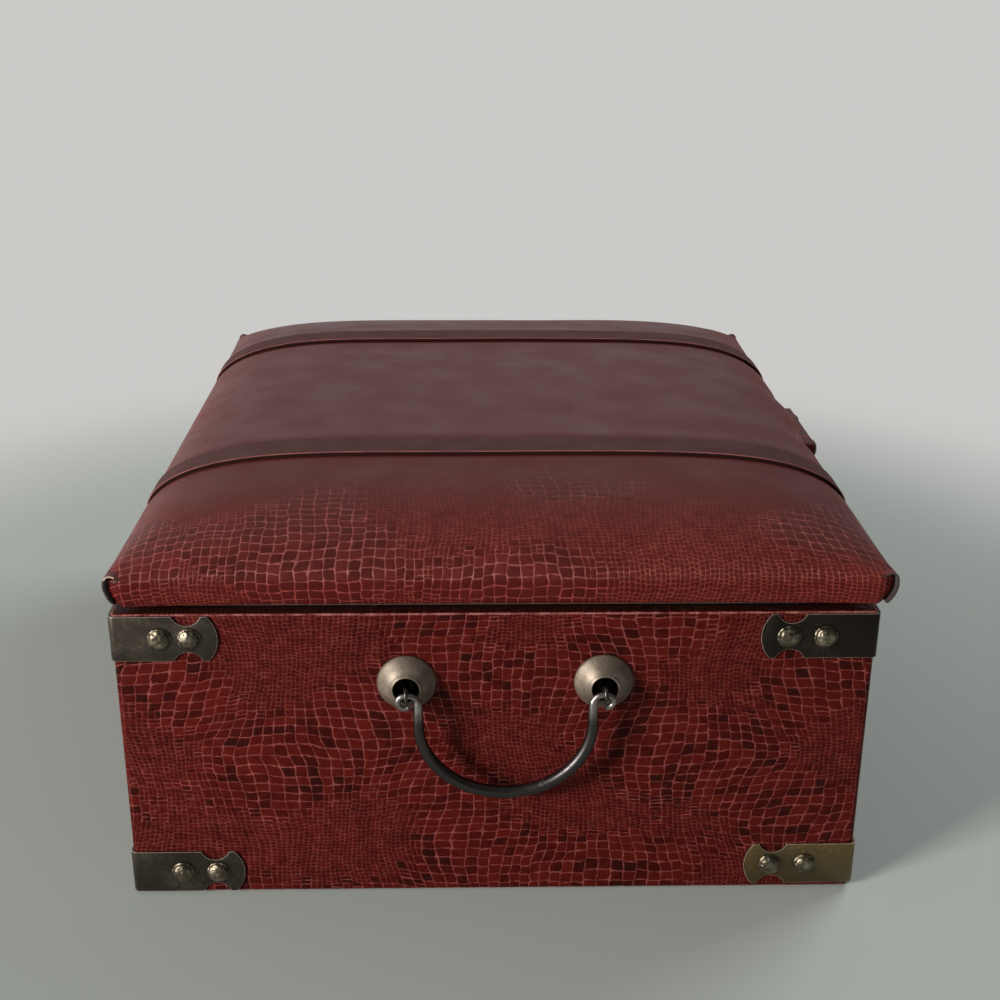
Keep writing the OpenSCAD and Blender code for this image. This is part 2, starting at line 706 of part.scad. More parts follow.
// Grid places round the edge of the cushion, counter-clockwise from the lowest u and v
edge_places = concat(
    [for (i = [0:nu - 2]) [i, 0]],
    [for (j = [0:nv - 2]) [nu - 1, j]],
    [for (i = [nu - 1:-1:1]) [i, nv - 1]],
    [for (j = [nv - 1:-1:1]) [0, j]]
);
n_edge = len(edge_places);
function crown_grid(t) = [for (i = [0:nu - 1], j = [0:nv - 1]) crown_point(us[i], vs[j], t)];
function edge_ring(t, z, drop = 0) = [for (e = edge_places)
    let (p = plan_point(us[e[0]], vs[e[1]], t, drop)) [p[0], p[1], z]];
function grid_faces(start, up) = [for (i = [0:nu - 2], j = [0:nv - 2], k = [0, 1])
    let (
        a = start + i * nv + j,
        b = a + nv,
        c = b + 1,
        d = a + 1,
        f = k == 0 ? [a, b, c] : [a, c, d]
    ) up ? [f[2], f[1], f[0]] : f];
// Indices of an edge loop: in the grid that starts at start, or in a plain ring
function grid_loop(start) = [for (e = edge_places) start + e[0] * nv + e[1]];
function ring_loop(start) = [for (k = [0:n_edge - 1]) start + k];
// Faces from an upper loop down to the next one, seen from outside
function band(top, low) = [for (k = [0:n_edge - 1], h = [0, 1])
    let (m = (k + 1) % n_edge)
    h == 0 ? [top[k], top[m], low[m]] : [top[k], low[m], low[k]]];

// Leathercloth shell of the cushion, drawn over the edge and turned under the board
module lid_cover() color(leather) {
    g = nu * nv;
    outer_rings = [for (s = side_profile) edge_ring(tuck * s[1], lid_z + lid_edge_h * s[0], s[0])];
    inner_rings = [
        edge_ring(lid_hem_w, lid_z), edge_ring(lid_hem_w, lid_z + cover_t),
        edge_ring(tuck + cover_t, lid_z + cover_t),
        edge_ring(cover_t, lid_z + lid_edge_h * side_profile[0][0], side_profile[0][0])
    ];
    rings = concat(outer_rings, inner_rings);
    points = concat(crown_grid(0), [for (r = rings, p = r) p], crown_grid(cover_t));
    inner = g + len(rings) * n_edge;
    loops = concat([grid_loop(0)], [for (k = [0:len(rings) - 1]) ring_loop(g + k * n_edge)],
                   [grid_loop(inner)]);
    polyhedron(points, concat(
        grid_faces(0, true),
        [for (k = [0:len(loops) - 2], f = band(loops[k], loops[k + 1])) f],
        grid_faces(inner, false)
    ), convexity = 4);
}

// Foam on the lid board, filling the shell
module foam_pad() color("#d8cfb4") {
    t = cover_t + clear;
    g = nu * nv;
    foot = edge_ring(t, lid_board_z + lid_board_t, 0.3);
    loop = ring_loop(g);
    polyhedron(concat(crown_grid(t), foot), concat(
        grid_faces(0, true), band(grid_loop(0), loop), [loop]
    ), convexity = 2);
}

module lid_board() color(wood)
    difference() {
        translate([lid_x, 0, lid_board_z]) linear_extrude(lid_board_t)
            polygon(round_rect(lid_board_w, lid_board_d, 3));
        at_hinges() at_screws(1) screw_hole(1);
        at_flap_studs() translate([0, 0, -flap_nail_len - clear])
            cylinder(d = nail_hole_d, h = flap_nail_len, $fn = small_fn);
    }

// Covered panel under the lid, notched for the hinges, on which the lid rests on the rim
module lid_liner() color(lining)
    difference() {
        slab(liner_w, liner_d, lid_gap, 1, body_h);
        at_hinges() translate([-over, -hinge_len / 2 - 1, -lid_gap])
            cube([lid_leaf_w + over + clear, hinge_len + 2, 2 * lid_gap]);
    }

// Strap over the cushion, as a band that keeps a set distance from the cover
module strap(y) {
    v0 = (y - strap_w / 2) / (lid_d / 2);
    v1 = (y + strap_w / 2) / (lid_d / 2);
    function path(v) = let (
        back_end = -body_w / 2 + liner_setback - 0.6,
        front_end = body_w / 2 - liner_setback + 0.6,
        side = [for (s = side_profile) [tuck * s[1], lid_z + lid_edge_h * s[0], s[0]]],
        back = [for (s = side) let (p = plan_point(-1, v, s[0], s[2])) [p[0], s[1]]],
        front = [for (s = side) let (p = plan_point(1, v, s[0], s[2])) [p[0], s[1]]],
        top = [for (u = us) let (p = crown_point(u, v, 0)) [p[0], p[2]]],
        n = len(side) - 1
    ) concat([[back_end, lid_z]], [for (k = [n:-1:0]) back[k]], top, front,
             [[front_end, lid_z]]);
    function normals(p) = [for (i = [0:len(p) - 1])
        let (d = p[min(i + 1, len(p) - 1)] - p[max(i - 1, 0)]) [-d[1], d[0]] / norm(d)];
    a = path(v0);
    b = path(v1);
    na = normals(a);
    nb = normals(b);
    n = len(a);
    y0 = y - strap_w / 2;
    y1 = y + strap_w / 2;
    points = [for (i = [0:n - 1], k = [0:3])
        let (
            p = k < 2 ? a[i] : b[i],
            m = k < 2 ? na[i] : nb[i],
            h = clear + ((k == 1 || k == 2) ? strap_t : 0),
            q = p + m * h
        ) [q[0], k < 2 ? y0 : y1, q[1]]];
    walls = [for (i = [0:n - 2], k = [0:3], h = [0, 1])
        let (c = i * 4 + k, d = i * 4 + (k + 1) % 4)
        h == 0 ? [c, d, d + 4] : [c, d + 4, c + 4]];
    polyhedron(points, concat(walls, [[3, 2, 1, 0]], [[for (k = [0:3]) (n - 1) * 4 + k]]),
               convexity = 4);
}
module left_strap() color("#3b2a24") strap(-strap_y);
module right_strap() color("#3b2a24") strap(strap_y);

// Outline of the flap in its own plane, [y, z]
function flap_outline() = let (
    r = 12,
    low = fold_z - flap_len,
    h = flap_tip_w / 2
) concat(
    [[-flap_w / 2, flap_top_z + over]],
    [[-flap_w / 2, fold_z - 6]],
    [for (k = [0:6]) let (a = 180 + 15 * k) [-h + r + r * cos(a), low + r + r * sin(a)]],
    [for (k = [0:6]) let (a = 270 + 15 * k) [h - r + r * cos(a), low + r + r * sin(a)]],
    [[flap_w / 2, fold_z - 6], [flap_w / 2, flap_top_z + over]]
);
module flap_blank(depth) {
    translate([flap_x - depth, 0, 0]) rotate([90, 0, 90]) linear_extrude(2 * depth)
        polygon(flap_outline());
}

// Upper part of the flap, studded to the lid
module flap_anchor() color("#3b2a24")
    difference() {
        intersection() {
            flap_blank(4 * flap_t);
            translate([flap_x, -flap_w, fold_z + flap_t / 2 + clear])
                cube([flap_t, 2 * flap_w, flap_top_z - fold_z - flap_t / 2 - clear]);
        }
        at_flap_studs() translate([0, 0, -2 * flap_t])
            cylinder(d = nail_hole_d, h = 4 * flap_t, $fn = small_fn);
    }
module at_flap_studs() {
    for (s = [-1, 1]) translate([flap_x + flap_t, s * flap_stud_y, flap_stud_z])
        rotate([0, 90, 0]) children();
}
module flap_studs() color(brass) at_flap_studs() stud(flap_nail_len);

// Hanging part of the flap: it bends in below its fold to lie over the keeper
module flap_tongue() color("#3b2a24")
    intersection() {
        flap_blank(6 * flap_t);
        union() {
            translate([flap_x + flap_t / 2, flap_w, fold_z]) rotate([90, 0, 0])
                cylinder(d = flap_t, h = 2 * flap_w, $fn = small_fn);
            translate([0, flap_w, 0]) rotate([90, 0, 0]) linear_extrude(2 * flap_w)
                polygon(concat(bend_line(0), bend_line(flap_t)));
        }
    }
// One face of the bent flap as [x, z], running down for the inner face and up for the outer one
function bend_line(out) = let (
    n = 10,
    low = fold_z - flap_len - over,
    bend_end = magnet_z + magnet_d / 2 + 4,
    pts = [for (k = [0:n]) let (t = k / n, e = t * t * (3 - 2 * t))
        [flap_x + (seat_x - flap_x) * e + out, fold_z + (bend_end - fold_z) * t]],
    all = concat(pts, [[seat_x + out, low]]),
    m = len(all) - 1
) out > 0 ? [for (k = [m:-1:0]) all[k]] : all;

module disc_x(x, t, d, z) {
    translate([x, 0, z]) rotate([0, 90, 0]) cylinder(d = d, h = t, $fn = round_fn);
}
module flap_magnet() color(iron) disc_x(seat_x - magnet_t, magnet_t, magnet_d, magnet_z);
module closure_keeper() color(brass) disc_x(keeper_x, keeper_t, magnet_d, magnet_z);

base_board();
base_sheet();
front_board();
back_board();
left_end_board();
right_end_board();
body_cover();
wall_lining();
floor_lining();
upper_plate_back_left();
upper_plate_front_left();
upper_plate_back_right();
upper_plate_front_right();
lower_plate_back_left();
lower_plate_front_left();
lower_plate_back_right();
lower_plate_front_right();
upper_plate_studs();
lower_plate_studs();
left_rosettes();
right_rosettes();
left_eyes();
right_eyes();
left_eye_washers();
right_eye_washers();
hinge_body_leaves();
hinge_pins();
hinge_body_screws();
closure_keeper();
lid_board();
foam_pad();
lid_cover();
lid_liner();
left_strap();
right_strap();
hinge_lid_leaves();
hinge_lid_screws();
flap_anchor();
flap_studs();
flap_tongue();
flap_magnet();
left_bail();
right_bail();
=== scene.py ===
import json
import logging
import math
from dataclasses import dataclass, field
from enum import Enum
from typing import Callable, Optional, Sequence, Union

import bmesh
import bpy
from mathutils import Matrix, Vector, noise

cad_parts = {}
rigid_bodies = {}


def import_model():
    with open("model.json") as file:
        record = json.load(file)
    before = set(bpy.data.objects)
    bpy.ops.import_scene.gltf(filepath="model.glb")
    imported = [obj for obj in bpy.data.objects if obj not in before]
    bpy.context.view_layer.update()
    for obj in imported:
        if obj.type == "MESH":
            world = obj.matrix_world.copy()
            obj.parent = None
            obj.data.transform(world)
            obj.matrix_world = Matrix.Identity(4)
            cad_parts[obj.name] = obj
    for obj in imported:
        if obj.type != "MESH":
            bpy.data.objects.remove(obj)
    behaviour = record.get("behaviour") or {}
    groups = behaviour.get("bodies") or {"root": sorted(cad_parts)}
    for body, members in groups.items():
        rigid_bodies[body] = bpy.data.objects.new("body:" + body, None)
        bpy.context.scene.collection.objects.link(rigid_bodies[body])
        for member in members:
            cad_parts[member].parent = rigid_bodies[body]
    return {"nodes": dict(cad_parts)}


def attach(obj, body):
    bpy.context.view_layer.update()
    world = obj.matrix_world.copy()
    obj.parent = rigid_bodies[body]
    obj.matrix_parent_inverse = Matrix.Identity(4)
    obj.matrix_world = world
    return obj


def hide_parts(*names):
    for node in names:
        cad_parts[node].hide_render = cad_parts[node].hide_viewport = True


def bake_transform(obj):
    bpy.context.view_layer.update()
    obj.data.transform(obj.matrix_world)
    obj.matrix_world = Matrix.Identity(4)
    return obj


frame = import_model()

# Looks of the padded storage box: embossed leathercloth over a board case, a cushioned lid with
# two straps, aged corner plates and studs, and a forged bail on spun rosettes at each end.
# Sizes are in millimetres and become metres where a mesh is finished.
MM = 0.001
LAYOUT = "layout"
EDGE = "edge"
log = logging.getLogger("padded_box")
Flat = tuple[float, float]
Point = tuple[float, float, float]
Tone = tuple[float, float, float]
Colour = tuple[float, float, float, float]
Layout = Callable[[int, int], Flat]
Number = Union["Value", float]


def share_of(x: float, start: float, length: float) -> float:
    """How far x has come over a length from its start, from 0 to 1."""
    return min(1.0, max(0.0, (x - start) / length))


def bell(x: float, middle: float, reach: float, power: int = 2) -> float:
    """A swelling that is 1 in its middle and dies out over its reach, flatter for more power."""
    return math.exp(-(abs(x - middle) / reach) ** power)


class Side(Enum):
    """The two ends of the box, as the sign of their Y."""

    LEFT = -1
    RIGHT = 1


class Body(Enum):
    """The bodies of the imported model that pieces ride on."""

    BOX = "box"
    LID = "lid"
    CLOSURE = "closure"
    LEFT_HANDLE = "left_handle"
    RIGHT_HANDLE = "right_handle"


class Value:
    """A shader socket in an expression: each operator adds the Math node that it names."""

    def __init__(self, shader: "Shader", socket: bpy.types.NodeSocket) -> None:
        """Wraps a socket of the shader that it belongs to."""
        self.shader = shader
        self.socket = socket

    def math(self, operation: str, *others: Number) -> "Value":
        """The result of a Math node of that operation on this value and the others."""
        return self.shader.node("Math", {"operation": operation}, dict(enumerate((self, *others))))

    def __add__(self, other: Number) -> "Value":
        """Sum."""
        return self.math("ADD", other)

    __radd__ = __add__

    def __sub__(self, other: Number) -> "Value":
        """Difference."""
        return self.math("SUBTRACT", other)

    def __rsub__(self, other: float) -> "Value":
        """Difference with the number first."""
        return (self * -1.0).math("ADD", other)

    def __mul__(self, other: Number) -> "Value":
        """Product."""
        return self.math("MULTIPLY", other)

    __rmul__ = __mul__

    def __truediv__(self, other: Number) -> "Value":
        """Quotient."""
        return self.math("DIVIDE", other)

    def __gt__(self, other: Number) -> "Value":
        """One where this is the greater, else zero."""
        return self.math("GREATER_THAN", other)


Socket = Union[Value, float, tuple, None]


class Shader:
    """One material while its nodes are laid out."""

    def __init__(self, name: str, world: bool = False) -> None:
        """Starts a material, or a world.

        Args:
            name: its name.
            world: whether it is a world.
        """
        self.material = (bpy.data.worlds if world else bpy.data.materials).new(name)
        self.material.use_nodes = True
        self.tree = self.material.node_tree
        self.surface = self.tree.nodes["Background" if world else "Principled BSDF"]

    def node(self, kind: str, settings: Optional[dict] = None,
             sockets: Optional[dict[Union[str, int], Socket]] = None,
             output: Union[str, int] = 0) -> Value:
        """Adds one node.

        Args:
            kind: the node's type, without the word that all types begin with.
            settings: its own settings, set first.
            sockets: values or links of its inputs, by name or number.
            output: the output that is wanted.

        Returns:
            That output.
        """
        made = self.tree.nodes.new("ShaderNode" + kind)
        for key, value in (settings or {}).items():
            setattr(made, key, value)
        for key, value in (sockets or {}).items():
            self.plug(value, made.inputs[key])
        return Value(self, made.outputs[output])

    def plug(self, value: Socket, socket: bpy.types.NodeSocket) -> None:
        """Links a value to an input, or sets the input where the value is a constant.

        Args:
            value: the value or constant.
            socket: the input.
        """
        if isinstance(value, Value):
            self.tree.links.new(value.socket, socket)
        else:
            socket.default_value = value

    def outputs(self, made: Value, *keys: Union[str, int]) -> tuple[Value, ...]:
        """Outputs of a value's own node, by name or number."""
        return tuple(Value(self, made.socket.node.outputs[key]) for key in keys)

    def axes(self, vector: Value) -> tuple[Value, ...]:
        """The three numbers of a vector."""
        return self.outputs(self.node("SeparateXYZ", None, {0: vector}), 0, 1, 2)

    def vector(self, x: Socket, y: Socket, z: Socket = 0.0) -> Value:
        """A vector of three numbers."""
        return self.node("CombineXYZ", None, {0: x, 1: y, 2: z})

    def joined(self, operation: str, first: Value, second: Socket) -> Value:
        """A vector of two vectors, by a Vector Math operation."""
        return self.node("VectorMath", {"operation": operation}, {0: first, 1: second})

    def scaled(self, vector: Value, factor: float) -> Value:
        """A vector times a number."""
        return self.node("VectorMath", {"operation": "SCALE"}, {0: vector, "Scale": factor})

    def place(self) -> Value:
        """Object coordinates in millimetres."""
        return self.scaled(self.node("TexCoord", output="Object"), 1 / MM)

    def layout(self) -> Value:
        """The piece's own flat layout, in millimetres along its surface."""
        return self.node("UVMap", {"uv_map": LAYOUT})

    def above_edge(self) -> tuple[Value, ...]:
        """Millimetres above the cushion's widest line, and 1 at its ends or 0 at its sides."""
        return self.axes(self.node("UVMap", {"uv_map": EDGE}))[:2]

    def clouds(self, vector: Value, size: float, detail: float = 2.0,
               rough: float = 0.5) -> Value:
        """Noise from 0 to 1.

        Args:
            vector: where it is read, in millimetres.
            size: about how wide its clouds are, in millimetres.
            detail: how many finer noises are laid over it.
            rough: how strong these are.

        Returns:
            The noise.
        """
        return self.node("TexNoise", {"noise_dimensions": "3D"},
                         {"Vector": self.scaled(vector, 1 / size), "Scale": 1.0,
                          "Detail": detail, "Roughness": rough})

    def cloud_pair(self, vector: Value, size: float) -> tuple[Value, ...]:
        """Two independent noises.

        Args:
            vector: where they are read, in millimetres.
            size: about how wide their clouds are, in millimetres.

        Returns:
            The two noises, each from 0 to 1.
        """
        made = self.node("TexNoise", {"noise_dimensions": "2D"},
                         {"Vector": self.scaled(vector, 1 / size), "Scale": 1.0, "Detail": 1.0},
                         "Color")
        return self.outputs(self.node("SeparateColor", None, {0: made}), 0, 1)

    def ramp(self, value: Value, low: float, high: float, start: float = 0.0,
             end: float = 1.0) -> Value:
        """A smooth step.

        Args:
            value: what it follows.
            low: the value up to which it stays at its start.
            high: the value from which it stays at its end.
            start: its start.
            end: its end.

        Returns:
            The step.
        """
        return self.node("MapRange", {"interpolation_type": "SMOOTHSTEP"},
                         {"Value": value, "From Min": low, "From Max": high, "To Min": start,
                          "To Max": end})

    def mix(self, share: Value, first: Socket, second: Socket) -> Value:
        """A colour between two, the second where share is 1."""
        return self.node("Mix", {"data_type": "RGBA"}, {0: share, 6: first, 7: second}, 2)

    def relief(self, height: Value, depth: float, strength: float = 1.0,
               under: Optional[Value] = None) -> Value:
        """A bump.

        Args:
            height: the relief, from 0 to 1.
            depth: its depth in millimetres.
            strength: how strongly it shades.
            under: a coarser relief below it.

        Returns:
            The bent normal.
        """
        sockets: dict = {"Height": height, "Distance": depth * MM, "Strength": strength}
        if under is not None:
            sockets["Normal"] = under
        return self.node("Bump", None, sockets)

    def finish(self, **sockets: Socket) -> None:
        """Sets the surface's sockets.

        Args:
            sockets: their values or links, by name in small letters with _ for a space.
        """
        for key, value in sockets.items():
            name = key.replace("_", " ").title().replace("Ior", "IOR")
            self.plug(value, self.surface.inputs[name])


def colour(red: float, green: float, blue: float) -> Colour:
    """A shader's colour.

    Args:
        red: the red part from 0 to 255, as a painter mixes it.
        green: the green part.
        blue: the blue part.

    Returns:
        The colour as linear light.
    """
    def linear(value: float) -> float:
        """One part, with the standard curve of screens undone."""
        share = value / 255
        return share / 12.92 if share <= 0.04045 else ((share + 0.055) / 1.055) ** 2.4
    return (linear(red), linear(green), linear(blue), 1.0)


PALE = colour(203, 202, 200)


@dataclass(frozen=True)
class Finish:
    """A finish that is made once and shared by its pieces."""

    name: str

    def paint(self, shader: Shader) -> None:
        """Lays out the finish's nodes in a new material."""
        raise NotImplementedError

    def material(self) -> bpy.types.Material:
        """The finished material, which is painted the first time.

        Returns:
            The material.
        """
        if self.name not in bpy.data.materials:
            self.paint(Shader(self.name))
        return bpy.data.materials[self.name]

    def dress(self, piece: bpy.types.Object) -> bpy.types.Object:
        """Gives a piece this finish.

        Args:
            piece: the piece.

        Returns:
            The same piece.
        """
        if piece.material_slots:
            for slot in piece.material_slots:
                slot.material = self.material()
        else:
            piece.data.materials.append(self.material())
        return piece


class Dye:
    """Colours of the leathercloth."""

    SEAM = colour(144, 76, 71)
    DULL_SEAM = colour(108, 44, 39)
    FINE_SEAM = colour(106, 42, 36)
    # A painted highlight on the seams along the cushion's widest line, where it bends.
    BEND_HIGHLIGHT_SEAM = colour(188, 120, 112)
    ISLAND = colour(74, 33, 29)
    ISLAND_SEAM = colour(152, 86, 82)
    LOW_SEAM = colour(150, 74, 62)
    UNDER = colour(72, 10, 7)
    UNDER_SEAM = colour(140, 56, 48)
    CROWN = colour(75, 22, 18)
    BURNT = colour(32, 12, 9)
    # Pale wear along the body's edges; on the rim's rounded edge it is partly a painted highlight.
    WORN = colour(166, 104, 97)
    # Painted shade on the cloth turned in over the rim, under the lid.
    TURNED_IN_SHADE = colour(26, 12, 10)


@dataclass(frozen=True)
class Scales:
    """The scales of a leathercloth."""

    level: Value  # how fine they are, about 0.3 to 0.7
    dense: Value  # 1 among the fine ones and 0 among the large ones
    chance: Value  # a random number from 0 to 1 for each scale
    beside: Value  # millimetres to a scale's nearer side
    below: Value  # millimetres to its nearer upper or lower edge
    edge: Value  # the smaller of these two, rounded at its corners


@dataclass
class Coat:
    """Leathercloth while it is coloured."""

    base: Value  # colour of the scales
    seam: Value  # colour of the creases between them
    crease: Value  # 1 in a crease and 0 on a scale
    dark: Value  # 1 on a scale that is burnt dark
    height: Value  # relief of the scales, from 0 to 1
    blotch: Value  # broad unevenness, from 0 to 1
    smear: Value  # fine unevenness, from 0 to 1


@dataclass(frozen=True)
class EmbossedLeather(Finish):
    """Leathercloth embossed with reptile scales: islands of large scales among fine ones.

    The pattern lies on the piece's own layout, in wandering columns and rows of cells. In a fine
    region a cell is split in two, each way by a choice of its own.
    """

    cell: Flat = (5.5, 4.7)  # a cell's width and height in millimetres
    island: Flat = (92.0, 58.0)  # about how wide and high an island is, in millimetres
    shift: float = 0.0  # how far the pattern is moved, so that two leathers differ
    worn: tuple[float, ...] = ()  # heights on the layout at which an edge is rubbed pale
    # The height on the layout from which the cloth is turned in over the rim, and from which it is
    # darkened with painted shade from the lid.
    inside: Optional[float] = None
    stretched: bool = False  # whether it is drawn over the cushion, so that its scales fade upwards
    fine_from: float = 0.535  # the level from which scales are fine
    blocks: float = 0.7  # how dark the darkest scales are, from 0 to 1
    shine: float = 0.13  # its specular level
    # The lighter and the darker tone of its scales.
    tones: tuple[Tone, Tone] = ((82, 20, 15), (50, 9, 6))

    @property
    def lift(self) -> float:
        """How far the shift moves the pattern up the layout."""
        return self.shift * 0.7

    def density(self, shader: Shader, p: Value, aside: Point = (0.0, 0.0, 0.0)) -> Value:
        """How fine the scales are at a place.

        Args:
            shader: the material.
            p: the place on the shifted layout.
            aside: how far beside it the density is read, in millimetres.

        Returns:
            The level, about 0.3 to 0.7.
        """
        at = shader.joined("ADD", p, aside)
        at = shader.joined("MULTIPLY", at, (1 / self.island[0], 1 / self.island[1], 1.0))
        return shader.clouds(at, 1.0, 0.0)

    def scales(self, shader: Shader, p: Value) -> Scales:
        """Divides the layout into scales.

        Args:
            shader: the material.
            p: the place on the shifted layout.

        Returns:
            The scales.
        """
        wide, high = self.cell
        x, y, _ = shader.axes(p)

        def pull(dx: float, dy: float) -> Value:
            """How much finer the scales are ahead of a place than behind it."""
            return (self.density(shader, p, (dx, dy, 0.0))
                    - self.density(shader, p, (-dx, -dy, 0.0)))

        # An island pushes the cells round it together, and noises make the grid wander.
        reach_x, reach_y = (size * 0.22 for size in self.island)
        wave_x, wave_y = shader.cloud_pair(p, 19.0)
        fine_x, fine_y = shader.cloud_pair(p, 5.0)
        column = x / wide - pull(reach_x, 0.0) * 4.4 + wave_x * 0.6 + fine_x * 0.24
        row = y / high - pull(0.0, reach_y) * 2.6 + wave_y * 0.5 + fine_y * 0.24
        column_id = column.math("FLOOR")
        row = row + self.chance(shader, column_id, 0.5) * 0.3
        row_id = row.math("FLOOR")
        across, along = column - column_id, row - row_id

        # The level is read once for a cell, at its middle, so that a cell isn't cut by it.
        middle = shader.vector(x + (0.5 - across) * wide, y + (0.5 - along) * high)
        level = self.density(shader, middle)
        spread = 0.1
        dense = (level + (self.chance(shader, column_id, row_id) - 0.5) * spread
                 > self.fine_from)
        low = (level + (self.chance(shader, row_id, column_id * 1.7) - 0.5) * spread
               > self.fine_from)
        columns, rows = dense + 1.0, low + 1.0
        part = across * columns
        part_id = part.math("FLOOR")
        name = column_id * 2.0 + part_id
        jog = self.chance(shader, name, row_id) * dense * low * 0.5
        step = along * rows + jog
        step_id = step.math("FLOOR")
        beside = self.gap(part - part_id) * wide / columns
        below = self.gap(step - step_id) * high / rows
        return Scales(level, dense, self.chance(shader, name, row_id * 3.0 + step_id),
                      beside, below, beside.math("SMOOTH_MIN", below, 0.9))

    def stretch(self, shader: Shader, scales: Scales, coat: Coat) -> None:
        """Recolours the coat as it is drawn over the cushion.

        The scales are smoothed away up the crown, paled along the cushion's widest line by a
        painted highlight on its seams, and stay deep red below it.

        Args:
            shader: the material.
            scales: its scales.
            coat: its coat, which is changed.
        """
        up, at_end = shader.above_edge()
        mild = up * (1.75 - at_end * 0.75) + (coat.blotch - 0.5) * 50.0
        fade = shader.ramp(mild, 18.0, 66.0, 1.0, 0.1)
        # Pale seams along the widest line: a painted highlight where the bend catches light.
        bent = shader.ramp((up - 1.0).math("ABSOLUTE"), 1.5, 5.0, 1.0, 0.0)
        ribs = at_end * scales.beside + (1.0 - at_end) * scales.below
        bent = bent * shader.ramp(ribs, 0.2, 0.55, 1.0, 0.0)
        island = shader.ramp(scales.level, self.fine_from - 0.05, self.fine_from + 0.03, 0.55, 0.0)
        low = scales.dense * shader.ramp(mild, 0.0, 34.0, 0.7, 0.0)
        under = shader.ramp(up, -2.5, 1.5, 0.75, 0.0)
        for share, tone in ((bent * shader.ramp(coat.smear, 0.3, 0.6), Dye.BEND_HIGHLIGHT_SEAM),
                            (island * 1.2, Dye.ISLAND_SEAM), (low, Dye.LOW_SEAM),
                            (under, Dye.UNDER_SEAM)):
            coat.seam = shader.mix(share, coat.seam, tone)
        for share, tone in ((island * shader.ramp(mild, 4.0, 24.0), Dye.ISLAND),
                            (under, Dye.UNDER)):
            coat.base = shader.mix(share, coat.base, tone)
        coat.base = shader.mix(fade, Dye.CROWN, coat.base)
        coat.dark, coat.height = coat.dark * fade, coat.height * fade
        coat.crease = coat.crease * shader.ramp(mild, 22.0, 86.0, 1.0, 0.05)

    def coat(self, shader: Shader, p: Value, scales: Scales) -> Coat:
        """Colours the flat leathercloth.

        Args:
            shader: the material.
            p: the place on the shifted layout.
            scales: its scales.

        Returns:
            The coat.
        """
        dense = scales.dense
        line = shader.ramp(shader.clouds(p, 4.0, 2.0), 0.3, 0.7, 0.15, 0.36) - dense * 0.04
        crease = shader.ramp(scales.edge - line, -0.22, 0.1, 1.0, 0.0) * (1.0 - dense * 0.25)
        crease = crease * shader.ramp(shader.clouds(p, 3.0, 2.0), 0.3, 0.6, 0.5, 1.0)
        blotch = shader.clouds(p, 36.0, 3.0, 0.6)
        smear = shader.clouds(p, 7.0, 4.0, 0.7)
        dark = shader.ramp(scales.chance * 0.5 + blotch * 1.2 + smear * 0.3, 1.12, 1.3)
        dark = dark * shader.ramp(smear, 0.3, 0.66, 0.45, 1.0) * (1.0 - dense * 0.85)
        tone = scales.chance * (0.35 - dense * 0.2) + blotch * 0.4 + smear * 0.7
        base = shader.mix(shader.ramp(tone + dense * 0.12, 0.5, 1.0),
                          *(colour(*t) for t in self.tones))
        seam = shader.mix(shader.ramp(smear, 0.3, 0.7), Dye.SEAM, Dye.DULL_SEAM)
        seam = shader.mix(dense * 0.5, seam, Dye.FINE_SEAM)
        return Coat(base, seam, crease, dark, shader.ramp(scales.edge, 0.0, 1.0), blotch, smear)

    def paint(self, shader: Shader) -> None:
        """Lays out the scales, their coat, its wear and its grain.

        Args:
            shader: the new material.
        """
        p = shader.joined("ADD", shader.layout(), (self.shift, self.lift, 0.0))
        y = shader.axes(p)[1]
        scales = self.scales(shader, p)
        coat = self.coat(shader, p, scales)
        if self.stretched:
            self.stretch(shader, scales, coat)
        base = shader.mix(coat.dark * self.blocks, coat.base, Dye.BURNT)
        surface = shader.mix(coat.crease * 0.9, base, coat.seam)
        rub: Optional[Value] = None
        # Pale lines at these heights: wear, and on the body's rim edge partly a painted highlight.
        for worn_at in self.worn:
            near = shader.ramp((y - worn_at - self.lift).math("ABSOLUTE") - coat.smear * 1.4,
                               -0.5, 0.15, 1.0, 0.0)
            rub = near if rub is None else rub.math("MAXIMUM", near)
        if rub is not None:
            patchy = shader.ramp(shader.clouds(p, 7.0, 3.0, 0.7), 0.35, 0.6, 0.15, 0.8)
            surface = shader.mix(rub * patchy, surface, Dye.WORN)
        # Painted shade on the cloth turned in over the rim, where the lid shades it.
        if self.inside is not None:
            turned = shader.ramp(y - self.lift, self.inside, self.inside + 0.8)
            surface = shader.mix(turned * 0.8, surface, Dye.TURNED_IN_SHADE)
        pebble = shader.clouds(p, 1.1, 2.0, 0.7)
        grain = shader.relief(pebble, 0.04, 0.5, shader.relief(coat.height, 0.2, 0.5))
        gloss = shader.ramp(shader.clouds(p, 26.0, 2.0), 0.3, 0.7, 0.38, 0.46)
        shader.finish(base_color=surface, roughness=gloss + coat.crease * 0.12, normal=grain,
                      specular_ior_level=self.shine)

    @staticmethod
    def chance(shader: Shader, first: Value, second: Socket) -> Value:
        """A random number from 0 to 1 for each pair of whole numbers."""
        return shader.node("TexWhiteNoise", {"noise_dimensions": "2D"},
                           {"Vector": shader.vector(first, second)})

    @staticmethod
    def gap(share: Value) -> Value:
        """The distance from the nearer end of a share from 0 to 1."""
        return share.math("MINIMUM", 1.0 - share).math("MAXIMUM", 0.0)


